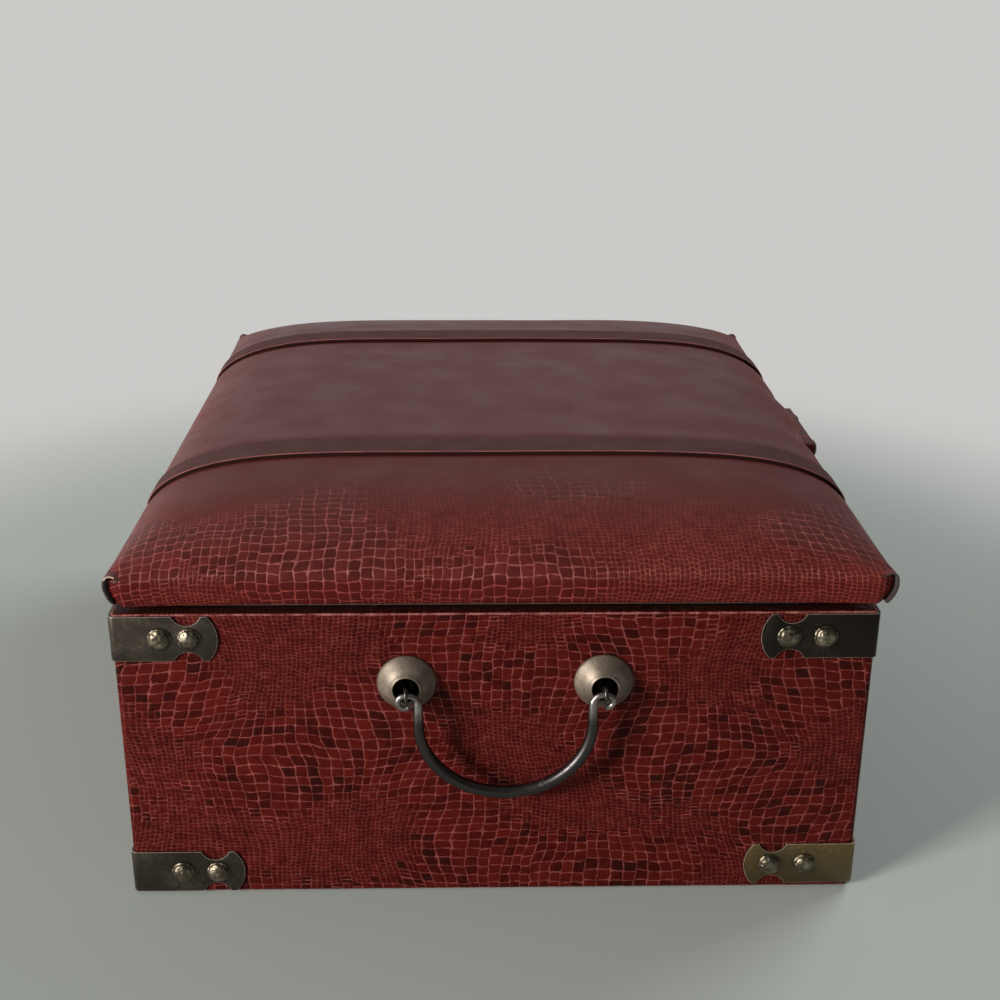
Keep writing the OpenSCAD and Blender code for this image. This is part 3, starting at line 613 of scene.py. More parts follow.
@dataclass(frozen=True)
class StrapLeather(Finish):
    """Smooth dark brown strap leather with a fine grain and a painted sheen, rubbed pale along its
    top edges with a painted highlight there, its cut edges dark with edge stain and painted shadow.
    """

    width: float = 20.0  # the strap's width, beyond which its layout runs down the cut edge

    def paint(self, shader: Shader) -> None:
        """Lays out the face, its cut edges and its grain.

        Args:
            shader: the new material.
        """
        p = shader.layout()
        smear = shader.clouds(p, 14.0, 4.0, 0.6)
        grain = shader.node("TexVoronoi", {"voronoi_dimensions": "2D"},
                            {"Vector": p, "Scale": 1.0}, "Distance")
        beyond = shader.axes(p)[1].math("ABSOLUTE") - self.width / 2
        # The cut edges are darkened, partly edge stain and partly painted shadow.
        side = shader.ramp(beyond, 0.15, 0.5)
        # A pale line along the top edges, partly wear and partly a painted highlight.
        rubbed = shader.ramp(beyond + smear * 0.4, -0.5, 0.1) * (1.0 - side)
        # The face's greyish brown holds a painted sheen, its specular level being almost nothing.
        body = shader.mix(smear, colour(90, 63, 61), colour(70, 48, 46))
        body = shader.mix(side * 0.85, body, colour(24, 11, 9))
        body = shader.mix(rubbed * shader.ramp(smear, 0.3, 0.6, 0.35, 0.9), body,
                          colour(150, 92, 86))
        relief = shader.relief(shader.ramp(grain, 0.1, 0.6), 0.05, 0.5)
        shader.finish(base_color=body, roughness=shader.ramp(smear, 0.3, 0.7, 0.5, 0.6),
                      normal=relief, specular_ior_level=0.01)


@dataclass(frozen=True)
class Cloth(Finish):
    """Short-napped cloth on object coordinates."""

    tone: Tone = (64, 50, 44)  # its lighter tone
    thread: float = 0.55  # the spacing of its threads in millimetres

    def paint(self, shader: Shader) -> None:
        """Lays out the weave and its nap.

        Args:
            shader: the new material.
        """
        p = shader.place()
        x, y, z = shader.axes(p)
        turn = 2 * math.pi / self.thread
        weave = ((x + z) * turn).math("SINE") * ((y + z) * turn).math("SINE") * 0.5 + 0.5
        nap = shader.clouds(p, 2.2, 3.0, 0.7)
        rub = shader.clouds(p, 60.0, 2.0)
        tone = colour(*self.tone)
        deep = tuple(c * 0.6 for c in tone[:3]) + (1.0,)
        body = shader.mix(nap * 0.6 + rub * 0.4, tone, deep)
        relief = shader.relief(weave * 0.4 + nap * 0.6, 0.12, 0.6)
        shader.finish(base_color=body, roughness=shader.ramp(nap, 0.2, 0.8, 0.86, 0.97),
                      normal=relief, sheen_weight=0.25, sheen_roughness=0.5)


@dataclass(frozen=True)
class FibreBoard(Finish):
    """Pressed fibre board."""

    def paint(self, shader: Shader) -> None:
        """Lays out the fibres.

        Args:
            shader: the new material.
        """
        p = shader.place()
        fibre = shader.clouds(p, 1.6, 4.0, 0.75)
        patch = shader.clouds(p, 45.0, 2.0)
        body = shader.mix(fibre * 0.7 + patch * 0.3, colour(196, 164, 122), colour(146, 114, 78))
        shader.finish(base_color=body, roughness=shader.ramp(fibre, 0.2, 0.8, 0.8, 0.92),
                      normal=shader.relief(fibre, 0.15, 0.5))


@dataclass(frozen=True)
class AgedMetal(Finish):
    """Sheet, cast or drawn metal with a dull patina, blotches and rubbed places."""

    bright: Tone = (150, 138, 112)  # the tone where it is rubbed
    patina: Tone = (74, 70, 60)  # the tone of its dull skin
    stain: Tone = (40, 38, 34)  # the tone of its blotches
    polish: Flat = (0.3, 0.5)  # its least and greatest roughness
    wear: float = 0.35  # how much of it is rubbed
    grain: float = 9.0  # about how wide its blotches are, in millimetres
    hammer: float = 0.0  # the depth of its hammer marks in millimetres
    worn_and_lit_above: Optional[float] = None  # the height up to which a rubbed top fades in, partly a painted highlight
    # The distance from the middle of the box below which it lies in a rosette's cup and is darkened
    # with painted shade.
    shaded_within: Optional[float] = None
    pure: float = 1.0  # how metallic it is between the blotches

    def paint(self, shader: Shader) -> None:
        """Lays out the skin, its wear, its blotches and its dents.

        Args:
            shader: the new material.
        """
        p = shader.place()
        bright, patina, stain = (colour(*t) for t in (self.bright, self.patina, self.stain))
        cloud = shader.clouds(p, self.grain, 4.0, 0.6)
        fleck = shader.clouds(p, 1.7, 3.0, 0.7)
        drift = shader.clouds(p, self.grain * 2.3, 3.0)
        rubbed = shader.ramp(drift * 0.6 + fleck * 0.4, 0.6 - self.wear * 0.3, 0.74)
        # On the bail the hooks are worn pale, and the paleness down the tops of its legs is a
        # painted highlight.
        if self.worn_and_lit_above is not None:
            worn = shader.ramp(shader.axes(p)[2], self.worn_and_lit_above - 9.0, self.worn_and_lit_above)
            rubbed = rubbed.math("MAXIMUM", worn * shader.ramp(fleck, 0.3, 0.6, 0.55, 1.0))
        stained = shader.ramp(cloud * 0.55 + fleck * 0.5, 0.56, 0.74)
        body = shader.mix(stained, shader.mix(rubbed, patina, bright), stain)
        # Painted shade on the part that lies deep in a rosette's cup.
        if self.shaded_within is not None:
            out = shader.axes(p)[1].math("ABSOLUTE")
            shade = shader.ramp(out, self.shaded_within - 2.5, self.shaded_within, 0.9, 0.0)
            body = shader.mix(shade, body, colour(18, 15, 13))
        relief = shader.relief(fleck, 0.025, 0.5)
        if self.hammer:
            dents = shader.node("TexVoronoi", {"feature": "SMOOTH_F1"},
                                {"Vector": shader.scaled(p, 1 / 2.1), "Scale": 1.0,
                                 "Smoothness": 0.8}, "Distance")
            relief = shader.relief(dents, self.hammer, 0.7, relief)
        rough = shader.ramp(stained * 0.6 + fleck * 0.4, 0.1, 0.9, *self.polish)
        shader.finish(base_color=body, roughness=rough, normal=relief,
                      metallic=self.pure - stained * 0.1)


@dataclass(frozen=True)
class PaleFloor(Finish):
    """Matt pale floor that becomes the plain backdrop far from the box."""

    def paint(self, shader: Shader) -> None:
        """Lays out the matt floor and the plain backdrop.

        Args:
            shader: the new material.
        """
        p = shader.place()
        far = shader.node("VectorMath", {"operation": "LENGTH"}, {0: p}, "Value")
        beyond = shader.ramp(far, 370.0, 700.0)
        body = shader.mix(shader.clouds(p, 300.0, 3.0) * 0.08, colour(173, 178, 172),
                          colour(161, 166, 161))
        camera, glossy = shader.outputs(shader.node("LightPath"), "Is Camera Ray", "Is Glossy Ray")
        # Glossy rays see the pale backdrop only towards the left: a painted reflection of a bright
        # room there.
        left = shader.ramp(shader.axes(p)[0], -150.0, 250.0, 1.0, 0.0)
        seen = camera.math("MAXIMUM", glossy * left)
        matt = shader.node("BsdfDiffuse", None, {"Color": body})
        pale = shader.node("Emission", None, {"Color": PALE})
        both = shader.node("MixShader", None, {0: beyond * seen, 1: matt, 2: pale})
        shader.plug(both, shader.tree.nodes["Material Output"].inputs["Surface"])


class Bench:
    """The workbench: one piece at a time is modelled on it, in millimetres."""

    def __init__(self, name: str) -> None:
        """Makes room for a piece.

        Args:
            name: the piece's name.
        """
        self.name = name
        self.piece: bpy.types.Object
        self.size: Flat = (0.0, 0.0)
        self.height = 0.0

    @staticmethod
    def clear() -> None:
        """Puts everything down, so that an operator acts on the new piece alone."""
        for other in bpy.context.scene.objects:
            other.select_set(False)
        bpy.context.view_layer.objects.active = None

    @staticmethod
    def hold(*pieces: bpy.types.Object) -> None:
        """Picks up pieces alone.

        Args:
            pieces: the pieces, the first as the active one.
        """
        Bench.clear()
        for piece in pieces:
            piece.select_set(True)
        bpy.context.view_layer.objects.active = pieces[0]

    @staticmethod
    def smooth(angle: float) -> None:
        """Shades the held piece smooth where its faces meet at less than that many degrees."""
        bpy.ops.object.shade_smooth_by_angle(angle=math.radians(angle))

    def take(self) -> "Bench":
        """Takes the primitive that was just added, and opens it in edit mode.

        Returns:
            The bench.
        """
        self.piece = bpy.context.object
        self.piece.name = self.piece.data.name = self.name
        bpy.ops.object.mode_set(mode="EDIT")
        bpy.ops.mesh.select_all(action="SELECT")
        return self

    def plate(self, width: float, depth: float, radius: float, z: float = 0.0,
              steps: int = 5) -> "Bench":
        """Starts with a flat rectangle with rounded corners, centred on the origin.

        Args:
            width: its size in X.
            depth: its size in Y.
            radius: the radius of its corners.
            z: its height.
            steps: how many edges each corner has.

        Returns:
            The bench.
        """
        self.clear()
        bpy.ops.mesh.primitive_plane_add(size=1, location=(0, 0, 0))
        self.take()
        bpy.ops.transform.resize(value=(width * MM, depth * MM, 1))
        bpy.ops.transform.translate(value=(0, 0, z * MM))
        bpy.ops.mesh.bevel(offset=radius * MM, segments=steps, affect="VERTICES")
        bpy.ops.mesh.select_all(action="SELECT")
        self.size, self.height = (width, depth), z
        return self

    def open(self) -> "Bench":
        """Removes the flat face and leaves its outline.

        Returns:
            The bench.
        """
        bpy.ops.mesh.delete(type="ONLY_FACE")
        bpy.ops.mesh.select_all(action="SELECT")
        return self

    def draw(self, width: float, depth: float, z: float, shift: float = 0.0) -> "Bench":
        """Extrudes the outline to a new size at a new height.

        Args:
            width: its new size in X.
            depth: its new size in Y.
            z: its new height.
            shift: how far it moves sideways in X.

        Returns:
            The bench.
        """
        step = (shift * MM, 0, (z - self.height) * MM)
        bpy.ops.mesh.extrude_region_move(TRANSFORM_OT_translate={"value": step})
        bpy.ops.transform.resize(value=(width / self.size[0], depth / self.size[1], 1))
        self.size, self.height = (width, depth), z
        return self

    def stack(self, width: float, depth: float, steps: Sequence[Flat],
              base: float = 0.0) -> "Bench":
        """Draws the outline through several steps.

        Args:
            width: the full size in X.
            depth: the full size in Y.
            steps: for each step its inset from the full size and its height.
            base: the height that these heights start from.

        Returns:
            The bench.
        """
        for inset, z in steps:
            self.draw(width - 2 * inset, depth - 2 * inset, base + z)
        return self

    def turned(self, profile: Sequence[Flat], steps: int) -> "Bench":
        """Spins a profile round the Z axis.

        Args:
            profile: its points as (radius, height), from axis to axis.
            steps: how many faces a full turn has.

        Returns:
            The bench.
        """
        self.clear()
        bpy.ops.mesh.primitive_plane_add(size=1, location=(0, 0, 0))
        self.take()
        mesh = bmesh.from_edit_mesh(self.piece.data)
        mesh.verts.ensure_lookup_table()
        for vert in list(mesh.verts)[1:]:
            mesh.verts.remove(vert)
        mesh.verts.ensure_lookup_table()
        mesh.verts[0].co = Vector((profile[0][0], 0, profile[0][1])) * MM
        mesh.verts[0].select_set(True)
        bmesh.update_edit_mesh(self.piece.data)
        for first, second in zip(profile, profile[1:]):
            step = ((second[0] - first[0]) * MM, 0, (second[1] - first[1]) * MM)
            bpy.ops.mesh.extrude_region_move(TRANSFORM_OT_translate={"value": step})
        bpy.ops.mesh.select_all(action="SELECT")
        bpy.ops.mesh.spin(steps=steps, angle=2 * math.pi, center=(0, 0, 0), axis=(0, 0, 1))
        return self

    def close(self, smooth: float = 40.0, merge: float = 0.004) -> bpy.types.Object:
        """Ends the modelling.

        Args:
            smooth: the angle in degrees below which an edge is shaded smooth.
            merge: the distance in millimetres below which points are one.

        Returns:
            The piece, with its doubles merged and its faces pointing outwards.
        """
        bpy.ops.mesh.select_all(action="SELECT")
        bpy.ops.mesh.remove_doubles(threshold=merge * MM)
        bpy.ops.mesh.normals_make_consistent(inside=False)
        bpy.ops.object.mode_set(mode="OBJECT")
        self.smooth(smooth)
        return self.piece

    @staticmethod
    def copies(source: bpy.types.Object, places: Sequence[Matrix], name: str) -> bpy.types.Object:
        """Copies a piece to each place and joins the copies.

        Args:
            source: the piece, which is removed.
            places: a turn and a place for each copy, in metres.
            name: the name of the joined piece.

        Returns:
            The joined piece.
        """
        made = []
        for matrix in places:
            copy = source.copy()
            copy.data = source.data.copy()
            copy.data.transform(matrix)
            bpy.context.scene.collection.objects.link(copy)
            made.append(copy)
        Bench.hold(*made)
        bpy.ops.object.join()
        bpy.data.objects.remove(source)
        made[0].name = made[0].data.name = name
        return made[0]

    @staticmethod
    def lay_flat(mesh: bpy.types.Mesh, layout: Layout) -> None:
        """Gives a mesh its flat layout.

        Args:
            mesh: the mesh.
            layout: the flat place in millimetres of a face's corner, by face and point number.
        """
        flat = mesh.uv_layers.new(name=LAYOUT)
        for polygon in mesh.polygons:
            for loop in polygon.loop_indices:
                flat.data[loop].uv = layout(polygon.index, mesh.loops[loop].vertex_index)

    @staticmethod
    def from_points(name: str, points: Sequence[Point], faces: Sequence[Sequence[int]],
                    layout: Layout, smooth: float, above: Optional[Sequence[Flat]] = None
                    ) -> bpy.types.Object:
        """A padded or leather piece from its own points.

        Args:
            name: the piece's name.
            points: its points in millimetres.
            faces: its faces, pointing outwards.
            layout: the flat place in millimetres of a face's corner, by face and point number.
            smooth: the angle in degrees below which an edge is shaded smooth.
            above: for each point, its distance in millimetres above the cushion's widest line,
                and 1 towards an end or 0 towards a side.

        Returns:
            The piece.
        """
        mesh = bpy.data.meshes.new(name)
        mesh.from_pydata([tuple(c * MM for c in p) for p in points], [], faces)
        piece = bpy.data.objects.new(name, mesh)
        bpy.context.scene.collection.objects.link(piece)
        Bench.lay_flat(mesh, layout)
        if above is not None:
            edge = mesh.uv_layers.new(name=EDGE)
            for loop in mesh.loops:
                edge.data[loop.index].uv = above[loop.vertex_index]
        Bench.hold(piece)
        Bench.smooth(smooth)
        return piece

    @staticmethod
    def cad_copy(node: str, name: str, edge: float, *finishes: Finish) -> bpy.types.Object:
        """A merged copy of a CAD node with softened edges.

        Args:
            node: the CAD node.
            name: the copy's name.
            edge: the width of the softened edges in millimetres.
            finishes: the copy's finish, and where there are two, the softened edges' own.

        Returns:
            The copy.
        """
        corner = 35.0
        source = frame["nodes"][node]
        copy = source.copy()
        copy.data = source.data.copy()
        for key in list(copy.keys()):
            del copy[key]
        copy.parent = None
        copy.matrix_world = Matrix.Identity(4)
        copy.data.materials.clear()
        for finish in finishes:
            copy.data.materials.append(finish.material())
        copy.name = copy.data.name = name
        bpy.context.scene.collection.objects.link(copy)
        Bench.hold(copy)
        bpy.ops.object.mode_set(mode="EDIT")
        bpy.ops.mesh.customdata_custom_splitnormals_clear()
        bpy.ops.mesh.select_all(action="SELECT")
        bpy.ops.mesh.remove_doubles(threshold=0.002 * MM)
        bpy.ops.mesh.dissolve_limited(angle_limit=math.radians(0.5))
        bpy.ops.object.mode_set(mode="OBJECT")
        soften = copy.modifiers.new("edges", "BEVEL")
        soften.width = edge * MM
        soften.segments = 2
        soften.limit_method = "ANGLE"
        soften.angle_limit = math.radians(corner)
        if len(finishes) > 1:
            soften.material = 1
        Bench.hold(copy)
        bpy.ops.object.modifier_apply(modifier=soften.name)
        Bench.smooth(corner)
        return copy


def placed(at: Point, degrees: float, axis: str) -> Matrix:
    """A turn about an axis, then a move to a place in millimetres."""
    return Matrix.Translation(Vector(at) * MM) @ Matrix.Rotation(math.radians(degrees), 4, axis)


def seat(piece: bpy.types.Object, body: Body, finish: Optional[Finish], slot: str,
         *nodes: str) -> bpy.types.Object:
    """Sets a finished piece on its body.

    Args:
        piece: the piece.
        body: what it rides on.
        finish: its finish, or None where it has one already.
        slot: the record's material slot; not used.
        nodes: the CAD nodes that it stands for.

    Returns:
        The piece.
    """
    if finish is not None:
        finish.dress(piece)
    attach(piece, body.value)
    if nodes:
        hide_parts(*nodes)
    log.info("%s rides on %s, %d points", piece.name, body.value, len(piece.data.vertices))
    return piece


def dress_node(node: str, finish: Finish) -> None:
    """Gives a CAD node that stays its finish.

    Args:
        node: the node.
        finish: its finish.
    """
    piece = frame["nodes"][node]
    finish.dress(piece)
    log.info("%s keeps its CAD shape", node)


LID_LEATHER = EmbossedLeather("lid_leathercloth", (4.7, 4.1), shift=150.0, stretched=True,
                              fine_from=0.49, blocks=0.14, tones=((94, 33, 29), (71, 23, 20)))
TRIM_LEATHER = EmbossedLeather("trim_leathercloth", (4.4, 4.0), shift=930.0)
# From the rim inwards the body's cloth is darkened with painted shade from the lid.
BODY_LEATHER = EmbossedLeather("body_leathercloth", (4.9, 4.15), island=(80.0, 50.0),
                               worn=(141.9, 0.8), inside=142.6, blocks=0.55, shine=0.06,
                               tones=((81, 19, 14), (49, 8, 6)))
STRAP = StrapLeather("dark_strap_leather")
LINING = Cloth("lining_cloth", (124, 106, 90))
FELT = Cloth("base_felt", (52, 46, 43), 1.1)
BACKING = Cloth("cloth_backing", (196, 166, 146), 0.7)
# Painted shade inside the corner hoods, on their inner faces and dark cut edges.
FOLD_SHADE = Cloth("painted_fold_shade", (44, 20, 16), 0.7)
THREAD = Cloth("waxed_thread", (96, 70, 58), 0.4)
BOARD = FibreBoard("fibre_board")
BRONZE = AgedMetal("bronze_patina", (118, 107, 94), (77, 70, 62), (42, 38, 34), (0.38, 0.6),
                   wear=0.5, grain=7.0)
BRONZE_DARK = AgedMetal("bronze_dark", (70, 62, 55), (50, 44, 39), (33, 29, 26), (0.45, 0.6),
                        wear=0.3, grain=8.0)
BRONZE_GOLD = AgedMetal("bronze_golden", (158, 128, 74), (108, 94, 70), (60, 52, 42),
                        (0.36, 0.56), wear=0.6, grain=13.0)
# Rubbed bare edges, made pale and mostly matt as a painted highlight, so that they show lit under
# any lamp.
BRONZE_EDGE_GLINT = AgedMetal("bronze_edge_glint", (196, 182, 164), (152, 140, 124), (92, 84, 72),
                        (0.35, 0.5), wear=0.6, pure=0.3)
BRASS = AgedMetal("aged_brass", (162, 147, 130), (122, 109, 96), (78, 68, 58), (0.48, 0.62),
                  wear=0.55, grain=4.0, pure=0.7)
# Painted shade deep inside the rosettes' cups.
CUP_SHADE = AgedMetal("painted_cup_shade", (36, 31, 28), (22, 19, 17), (12, 10, 9), (0.6, 0.8),
                 wear=0.2, grain=4.0)
STUD_BRASS = AgedMetal("stud_brass", (180, 168, 144), (96, 88, 74), (42, 37, 31), (0.4, 0.58),
                       wear=0.5, grain=2.4, hammer=0.85)
# Pale hooks from wear; the paleness fading down the legs' tops is a painted highlight.
IRON = AgedMetal("black_iron", (158, 150, 145), (74, 70, 69), (42, 39, 38), (0.36, 0.48),
                 wear=-0.15, grain=8.0, worn_and_lit_above=103.0)
WIRE = AgedMetal("eye_wire", (160, 150, 142), (90, 83, 77), (50, 46, 42), (0.34, 0.48),
                 grain=4.0, shaded_within=204.0)
FLOOR = PaleFloor("pale_floor")


@dataclass(frozen=True)
class Case:
    """Sizes that the parts of the box share, in millimetres."""

    width: float = 330.0  # the body's size in X, from back to front flap
    depth: float = 395.0  # its size in Y, from end to end
    height: float = 142.0  # its size in Z, up to the rim
    board: float = 9.0  # thickness of its walls
    cover: float = 1.0  # thickness of the leathercloth
    lid_z: float = 146.5  # height of the lid's underside


CASE = Case()


@dataclass
class BoardBody:
    """The covered body with its linings, in millimetres."""

    hem: float = 12.0  # how far the leathercloth is turned under the base
    turn_in: float = 12.0  # how far it is turned in over the rim
    soft_corner: float = 2.6  # radius of the body's upright corners
    lining: float = 1.0  # thickness of the wall lining
    pad: float = 2.0  # thickness of the floor pad
    floor_z: float = 6.8  # height of the floor board's face
    felt_in: float = 6.0  # how far the base felt stays inside the body

    def square(self, x: float, y: float, inset: float) -> Flat:
        """Squares a rounded corner, so that its leathercloth keeps its length.

        Args:
            x: X of a point on the rounded outline.
            y: its Y.
            inset: how far the outline lies inside the body's.

        Returns:
            The point's place on the square outline.
        """
        hw, hd, r = CASE.width / 2, CASE.depth / 2, self.soft_corner
        ax, ay = abs(x) - (hw - inset - r), abs(y) - (hd - inset - r)
        if ax <= 0 or ay <= 0:
            return x, y
        turn = math.atan2(ay, ax) / (math.pi / 2)
        px = hw - r + r * min(1.0, 2 * (1 - turn))
        py = hd - r + r * min(1.0, 2 * turn)
        return math.copysign(px, x), math.copysign(py, y)

    def unroll(self, piece: bpy.types.Object) -> None:
        """Lays the cover out flat round the box, with its left end's middle at 0.

        Args:
            piece: the cover.
        """
        mesh = piece.data
        hw, hd = CASE.width / 2, CASE.depth / 2
        inner = CASE.board + 2 * CASE.cover - 0.6
        base_top = 2.0

        def layout(face: int, point: int) -> Flat:
            """Flat place of a face's corner.

            Args:
                face: the face's number.
                point: the number of the corner's point.

            Returns:
                The place in millimetres.
            """
            polygon = mesh.polygons[face]
            c, v = polygon.center / MM, mesh.vertices[point].co / MM
            to_side, to_end = hw - abs(c.x), hd - abs(c.y)
            upright = max(abs(polygon.normal.x), abs(polygon.normal.y)) > 0.5
            inset = max(0.0, min(hw - abs(v.x), hd - abs(v.y)))
            px, py = self.square(v.x, v.y, inset)
            if to_end < to_side and c.y < 0:
                u = px + math.copysign(max(0.0, hd - inset - abs(py)), px)
            elif to_end < to_side:
                u = 2 * hw + 2 * hd - px
            elif c.x > 0:
                u = hw + py + hd
            else:
                u = 3 * hw + 2 * hd + hd - py
            if v.z <= base_top:
                return u, v.z - inset
            if upright and min(to_side, to_end) > inner:
                return u, 2 * CASE.height + inner - v.z
            return u, v.z + inset

        Bench.lay_flat(mesh, layout)

    def cover_shell(self) -> bpy.types.Object:
        """The leathercloth: hem under the base, up the walls, over the rim and in.

        Returns:
            The piece, with its flat layout.
        """
        w, d, h, t = CASE.width, CASE.depth, CASE.height, CASE.cover
        wall = CASE.board + 2 * t
        bench = Bench("body_leather").plate(w - 2 * self.hem, d - 2 * self.hem,
                                            self.soft_corner, 0.8).open()
        bench.stack(w, d, [
            (1.6, 0.8), (0.7, 1.0), (0.2, 1.5), (0, 2.4), (0, 20), (0, 45), (0, 75), (0, 105),
            (0, 130), (0, h - 1.8), (0.15, h - 0.9), (0.6, h - 0.3), (1.5, h), (4, h),
            (wall - 1.5, h), (wall - 0.5, h - 0.4), (wall, h - 1.4), (wall, h - self.turn_in),
            (wall - t, h - self.turn_in), (wall - t, h - 2), (t, h - 2), (t, 2),
            (self.hem, 1.8), (self.hem, 0.8)])
        shell = bench.close()
        self.unroll(shell)
        return shell

    def wall_cloth(self) -> bpy.types.Object:
        """The lining of the walls, with a soft upper edge under the turned-in leathercloth.

        Returns:
            The piece.
        """
        w, d = (s - 2 * (CASE.board + CASE.cover) for s in (CASE.width, CASE.depth))
        top, t = CASE.height - self.turn_in, self.lining
        bench = Bench("wall_cloth").plate(w, d, 0.6, self.floor_z).open()
        return bench.stack(w, d, [
            (0, top), (0.25, top), (t - 0.4, top), (t, top - 0.5),
            (t, self.floor_z + self.pad + 2), (t, self.floor_z), (0, self.floor_z)]).close()

    def floor_pad(self) -> bpy.types.Object:
        """The soft panel on the floor, full in the middle and rolled at its edges.

        Returns:
            The piece.
        """
        w, d = (s - 2 * (CASE.board + CASE.cover + self.lining)
                for s in (CASE.width, CASE.depth))
        return Bench("floor_pad").plate(w, d, 3.0, self.floor_z).stack(w, d, [
            (0.1, 0.5), (0, 1.0), (0.3, 1.5), (1.2, 1.85), (3.5, 2.0), (20, 2.1)],
            self.floor_z).close(60)

    def base_felt(self) -> bpy.types.Object:
        """The felt sheet under the base, with a soft edge.

        Returns:
            The piece.
        """
        w, d = CASE.width - 2 * self.felt_in, CASE.depth - 2 * self.felt_in
        return Bench("base_felt_sheet").plate(w - 1, d - 1, 4.0, 0.0).stack(w, d, [
            (0, 0.3), (0, 0.6), (0.3, 0.8), (6.0, 0.8), (6.2, 1.8), (9, 1.8)]).close(60)

    def build(self) -> None:
        """Makes and seats the body's coverings and dresses its boards."""
        seat(self.cover_shell(), Body.BOX, BODY_LEATHER, "leathercloth", "body_cover")
        seat(self.wall_cloth(), Body.BOX, LINING, "lining", "wall_lining")
        pad = seat(self.floor_pad(), Body.BOX, LINING, "lining", "floor_lining")
        seat(self.base_felt(), Body.BOX, FELT, "lining", "base_sheet")
        for node in ("base_board", "front_board", "back_board", "left_end_board",
                     "right_end_board"):
            dress_node(node, BOARD)


@dataclass
class CushionLid:
    """The padded lid: the cushion's leathercloth, its folded corners and what it is made on.

    A place on the crown is given by u in X and v in Y, each from -1 to 1.
    """

    width: float = 335.0  # the lid's size in X
    depth: float = 400.0  # its size in Y
    shift: float = 2.5  # how far its middle lies towards the flap
    edge_h: float = 11.5  # height of its widest line over its underside
    crown: float = 26.5  # height of its crown over the widest line
    tuck: float = 3.0  # how far its lower edge is drawn in
    draw: float = 2.5  # how far its sides are drawn in between the corners
    corner: float = 7.0  # radius of its corners on plan
    swell: float = 4.0  # how far its front stands out over the flap
    hem: float = 26.0  # how far the leathercloth is turned under it
    strap_y: float = 103.0  # distance of the straps from its middle
    strap_w: float = 20.0  # the straps' width
    steps_u: int = 44  # faces of the crown from its middle to a side
    steps_v: int = 74  # faces of the crown from its middle to an end
    fullness: float = 1.5  # how far the sides stand out between the straps
    sag: float = 0.6  # how far the lower edge hangs at the ends

    @property
    def tip_z(self) -> float:
        """Height of the cushion's widest line."""
        return CASE.lid_z + self.edge_h

    def swelling(self, u: float, v: float, drop: float) -> float:
        """How far the front swells above the closure flap.

        Args:
            u: place in X.
            v: place in Y.
            drop: the share of it that is left further down.

        Returns:
            The distance in millimetres.
        """
        if u <= 0:
            return 0.0
        from_edge, y = (1 - u) * self.width / 2, v * self.depth / 2
        return self.swell * bell(from_edge, 5, 10) * bell(y, 3, 29) * drop

    def plan(self, u: float, v: float, inset: float, drop: float = 1.0) -> Flat:
        """A place on plan, with rounded corners and the sides drawn in between them.

        Args:
            u: place in X.
            v: place in Y.
            inset: how far the outline lies inside the widest one.
            drop: the share of the front's swelling that is left.

        Returns:
            Its X and Y.
        """
        hw, hd = self.width / 2 - inset, self.depth / 2 - inset
        r = max(self.corner - inset, 0.6)
        du = max(0.0, abs(u) * hw - hw + r) / r
        dv = max(0.0, abs(v) * hd - hd + r) / r
        ex = hw - r + r * du * math.sqrt(1 - dv * dv / 2) if du > 0 else abs(u) * hw
        ey = hd - r + r * dv * math.sqrt(1 - du * du / 2) if dv > 0 else abs(v) * hd
        px = ex - self.draw * abs(u) * (1 - abs(v) ** 6)
        py = ey - self.draw * abs(v) * (1 - abs(u) ** 6)
        return (self.shift + math.copysign(px, u) + self.swelling(u, v, drop),
                math.copysign(py, v))

    @staticmethod
    def rise(u: float, half: float) -> float:
        """Share of the crown's height at u, over a lid of that half width."""
        return max(0.0, 1 - abs(u) ** (5.2 * half / 165)) ** 0.6

    def full(self, u: float, v: float, height: float) -> float:
        """How far the side stands out between the straps and at the ends.

        Args:
            u: place in X.
            v: place in Y.
            height: the share of the height from the underside to the widest line.

        Returns:
            The distance in millimetres.
        """
        flap_y = 42.0
        y = abs(v) * self.depth / 2
        if abs(u) < abs(v) or (u > 0 and y < flap_y):
            return 0.0
        between_straps = 1 - bell(y, self.strap_y, 16, 4)
        near_side = share_of(abs(u), 0.75, 0.2)
        if u > 0:
            near_side *= share_of(y, flap_y, 12)
        off_corner = 1 - 0.6 * share_of(abs(v), 0.93, 0.07) ** 2
        return (self.fullness * between_straps * near_side * off_corner
                * share_of(height, 0.3, 0.4))

    def surface(self, u: float, v: float) -> Point:
        """A point of the crown, with its slight unevenness and the press of the straps.

        Args:
            u: place in X.
            v: place in Y.

        Returns:
            The point.
        """
        x, y = self.plan(u, v, 0.0)
        x += math.copysign(self.full(u, v, 1.0), u)
        rise = self.rise(u, self.width / 2) * self.rise(v, self.depth / 2)
        z = self.tip_z + self.crown * rise
        uneven, patch = 0.5, 60
        z += uneven * rise * noise.noise(Vector((x / patch, y / patch, 3.1)))
        from_strap = abs(abs(v) * self.depth / 2 - self.strap_y)
        pressed, swollen = 0.7, 0.35
        z -= pressed * rise * bell(from_strap, 0, self.strap_w / 2 + 1, 4)
        z += swollen * rise * bell(from_strap, 17, 6)
        return x, y, z

    @staticmethod
    def spread(steps: int, power: float) -> list[float]:
        """Places from -1 to 1, so many steps each way, and closer at the ends for more power."""
        half = [1 - (k / steps) ** power for k in range(steps)]
        return [-h for h in half] + [0.0] + half[::-1]

    def unroll(self, points: Sequence[Point]) -> list[Flat]:
        """Lays the crown out flat.

        Args:
            points: the crown's points, row by row along v.

        Returns:
            For each point how far it lies from the middle along its column and its row.
        """
        nu, nv = 2 * self.steps_u + 1, 2 * self.steps_v + 1
        along: list[list[float]] = [[0.0, 0.0] for _ in points]

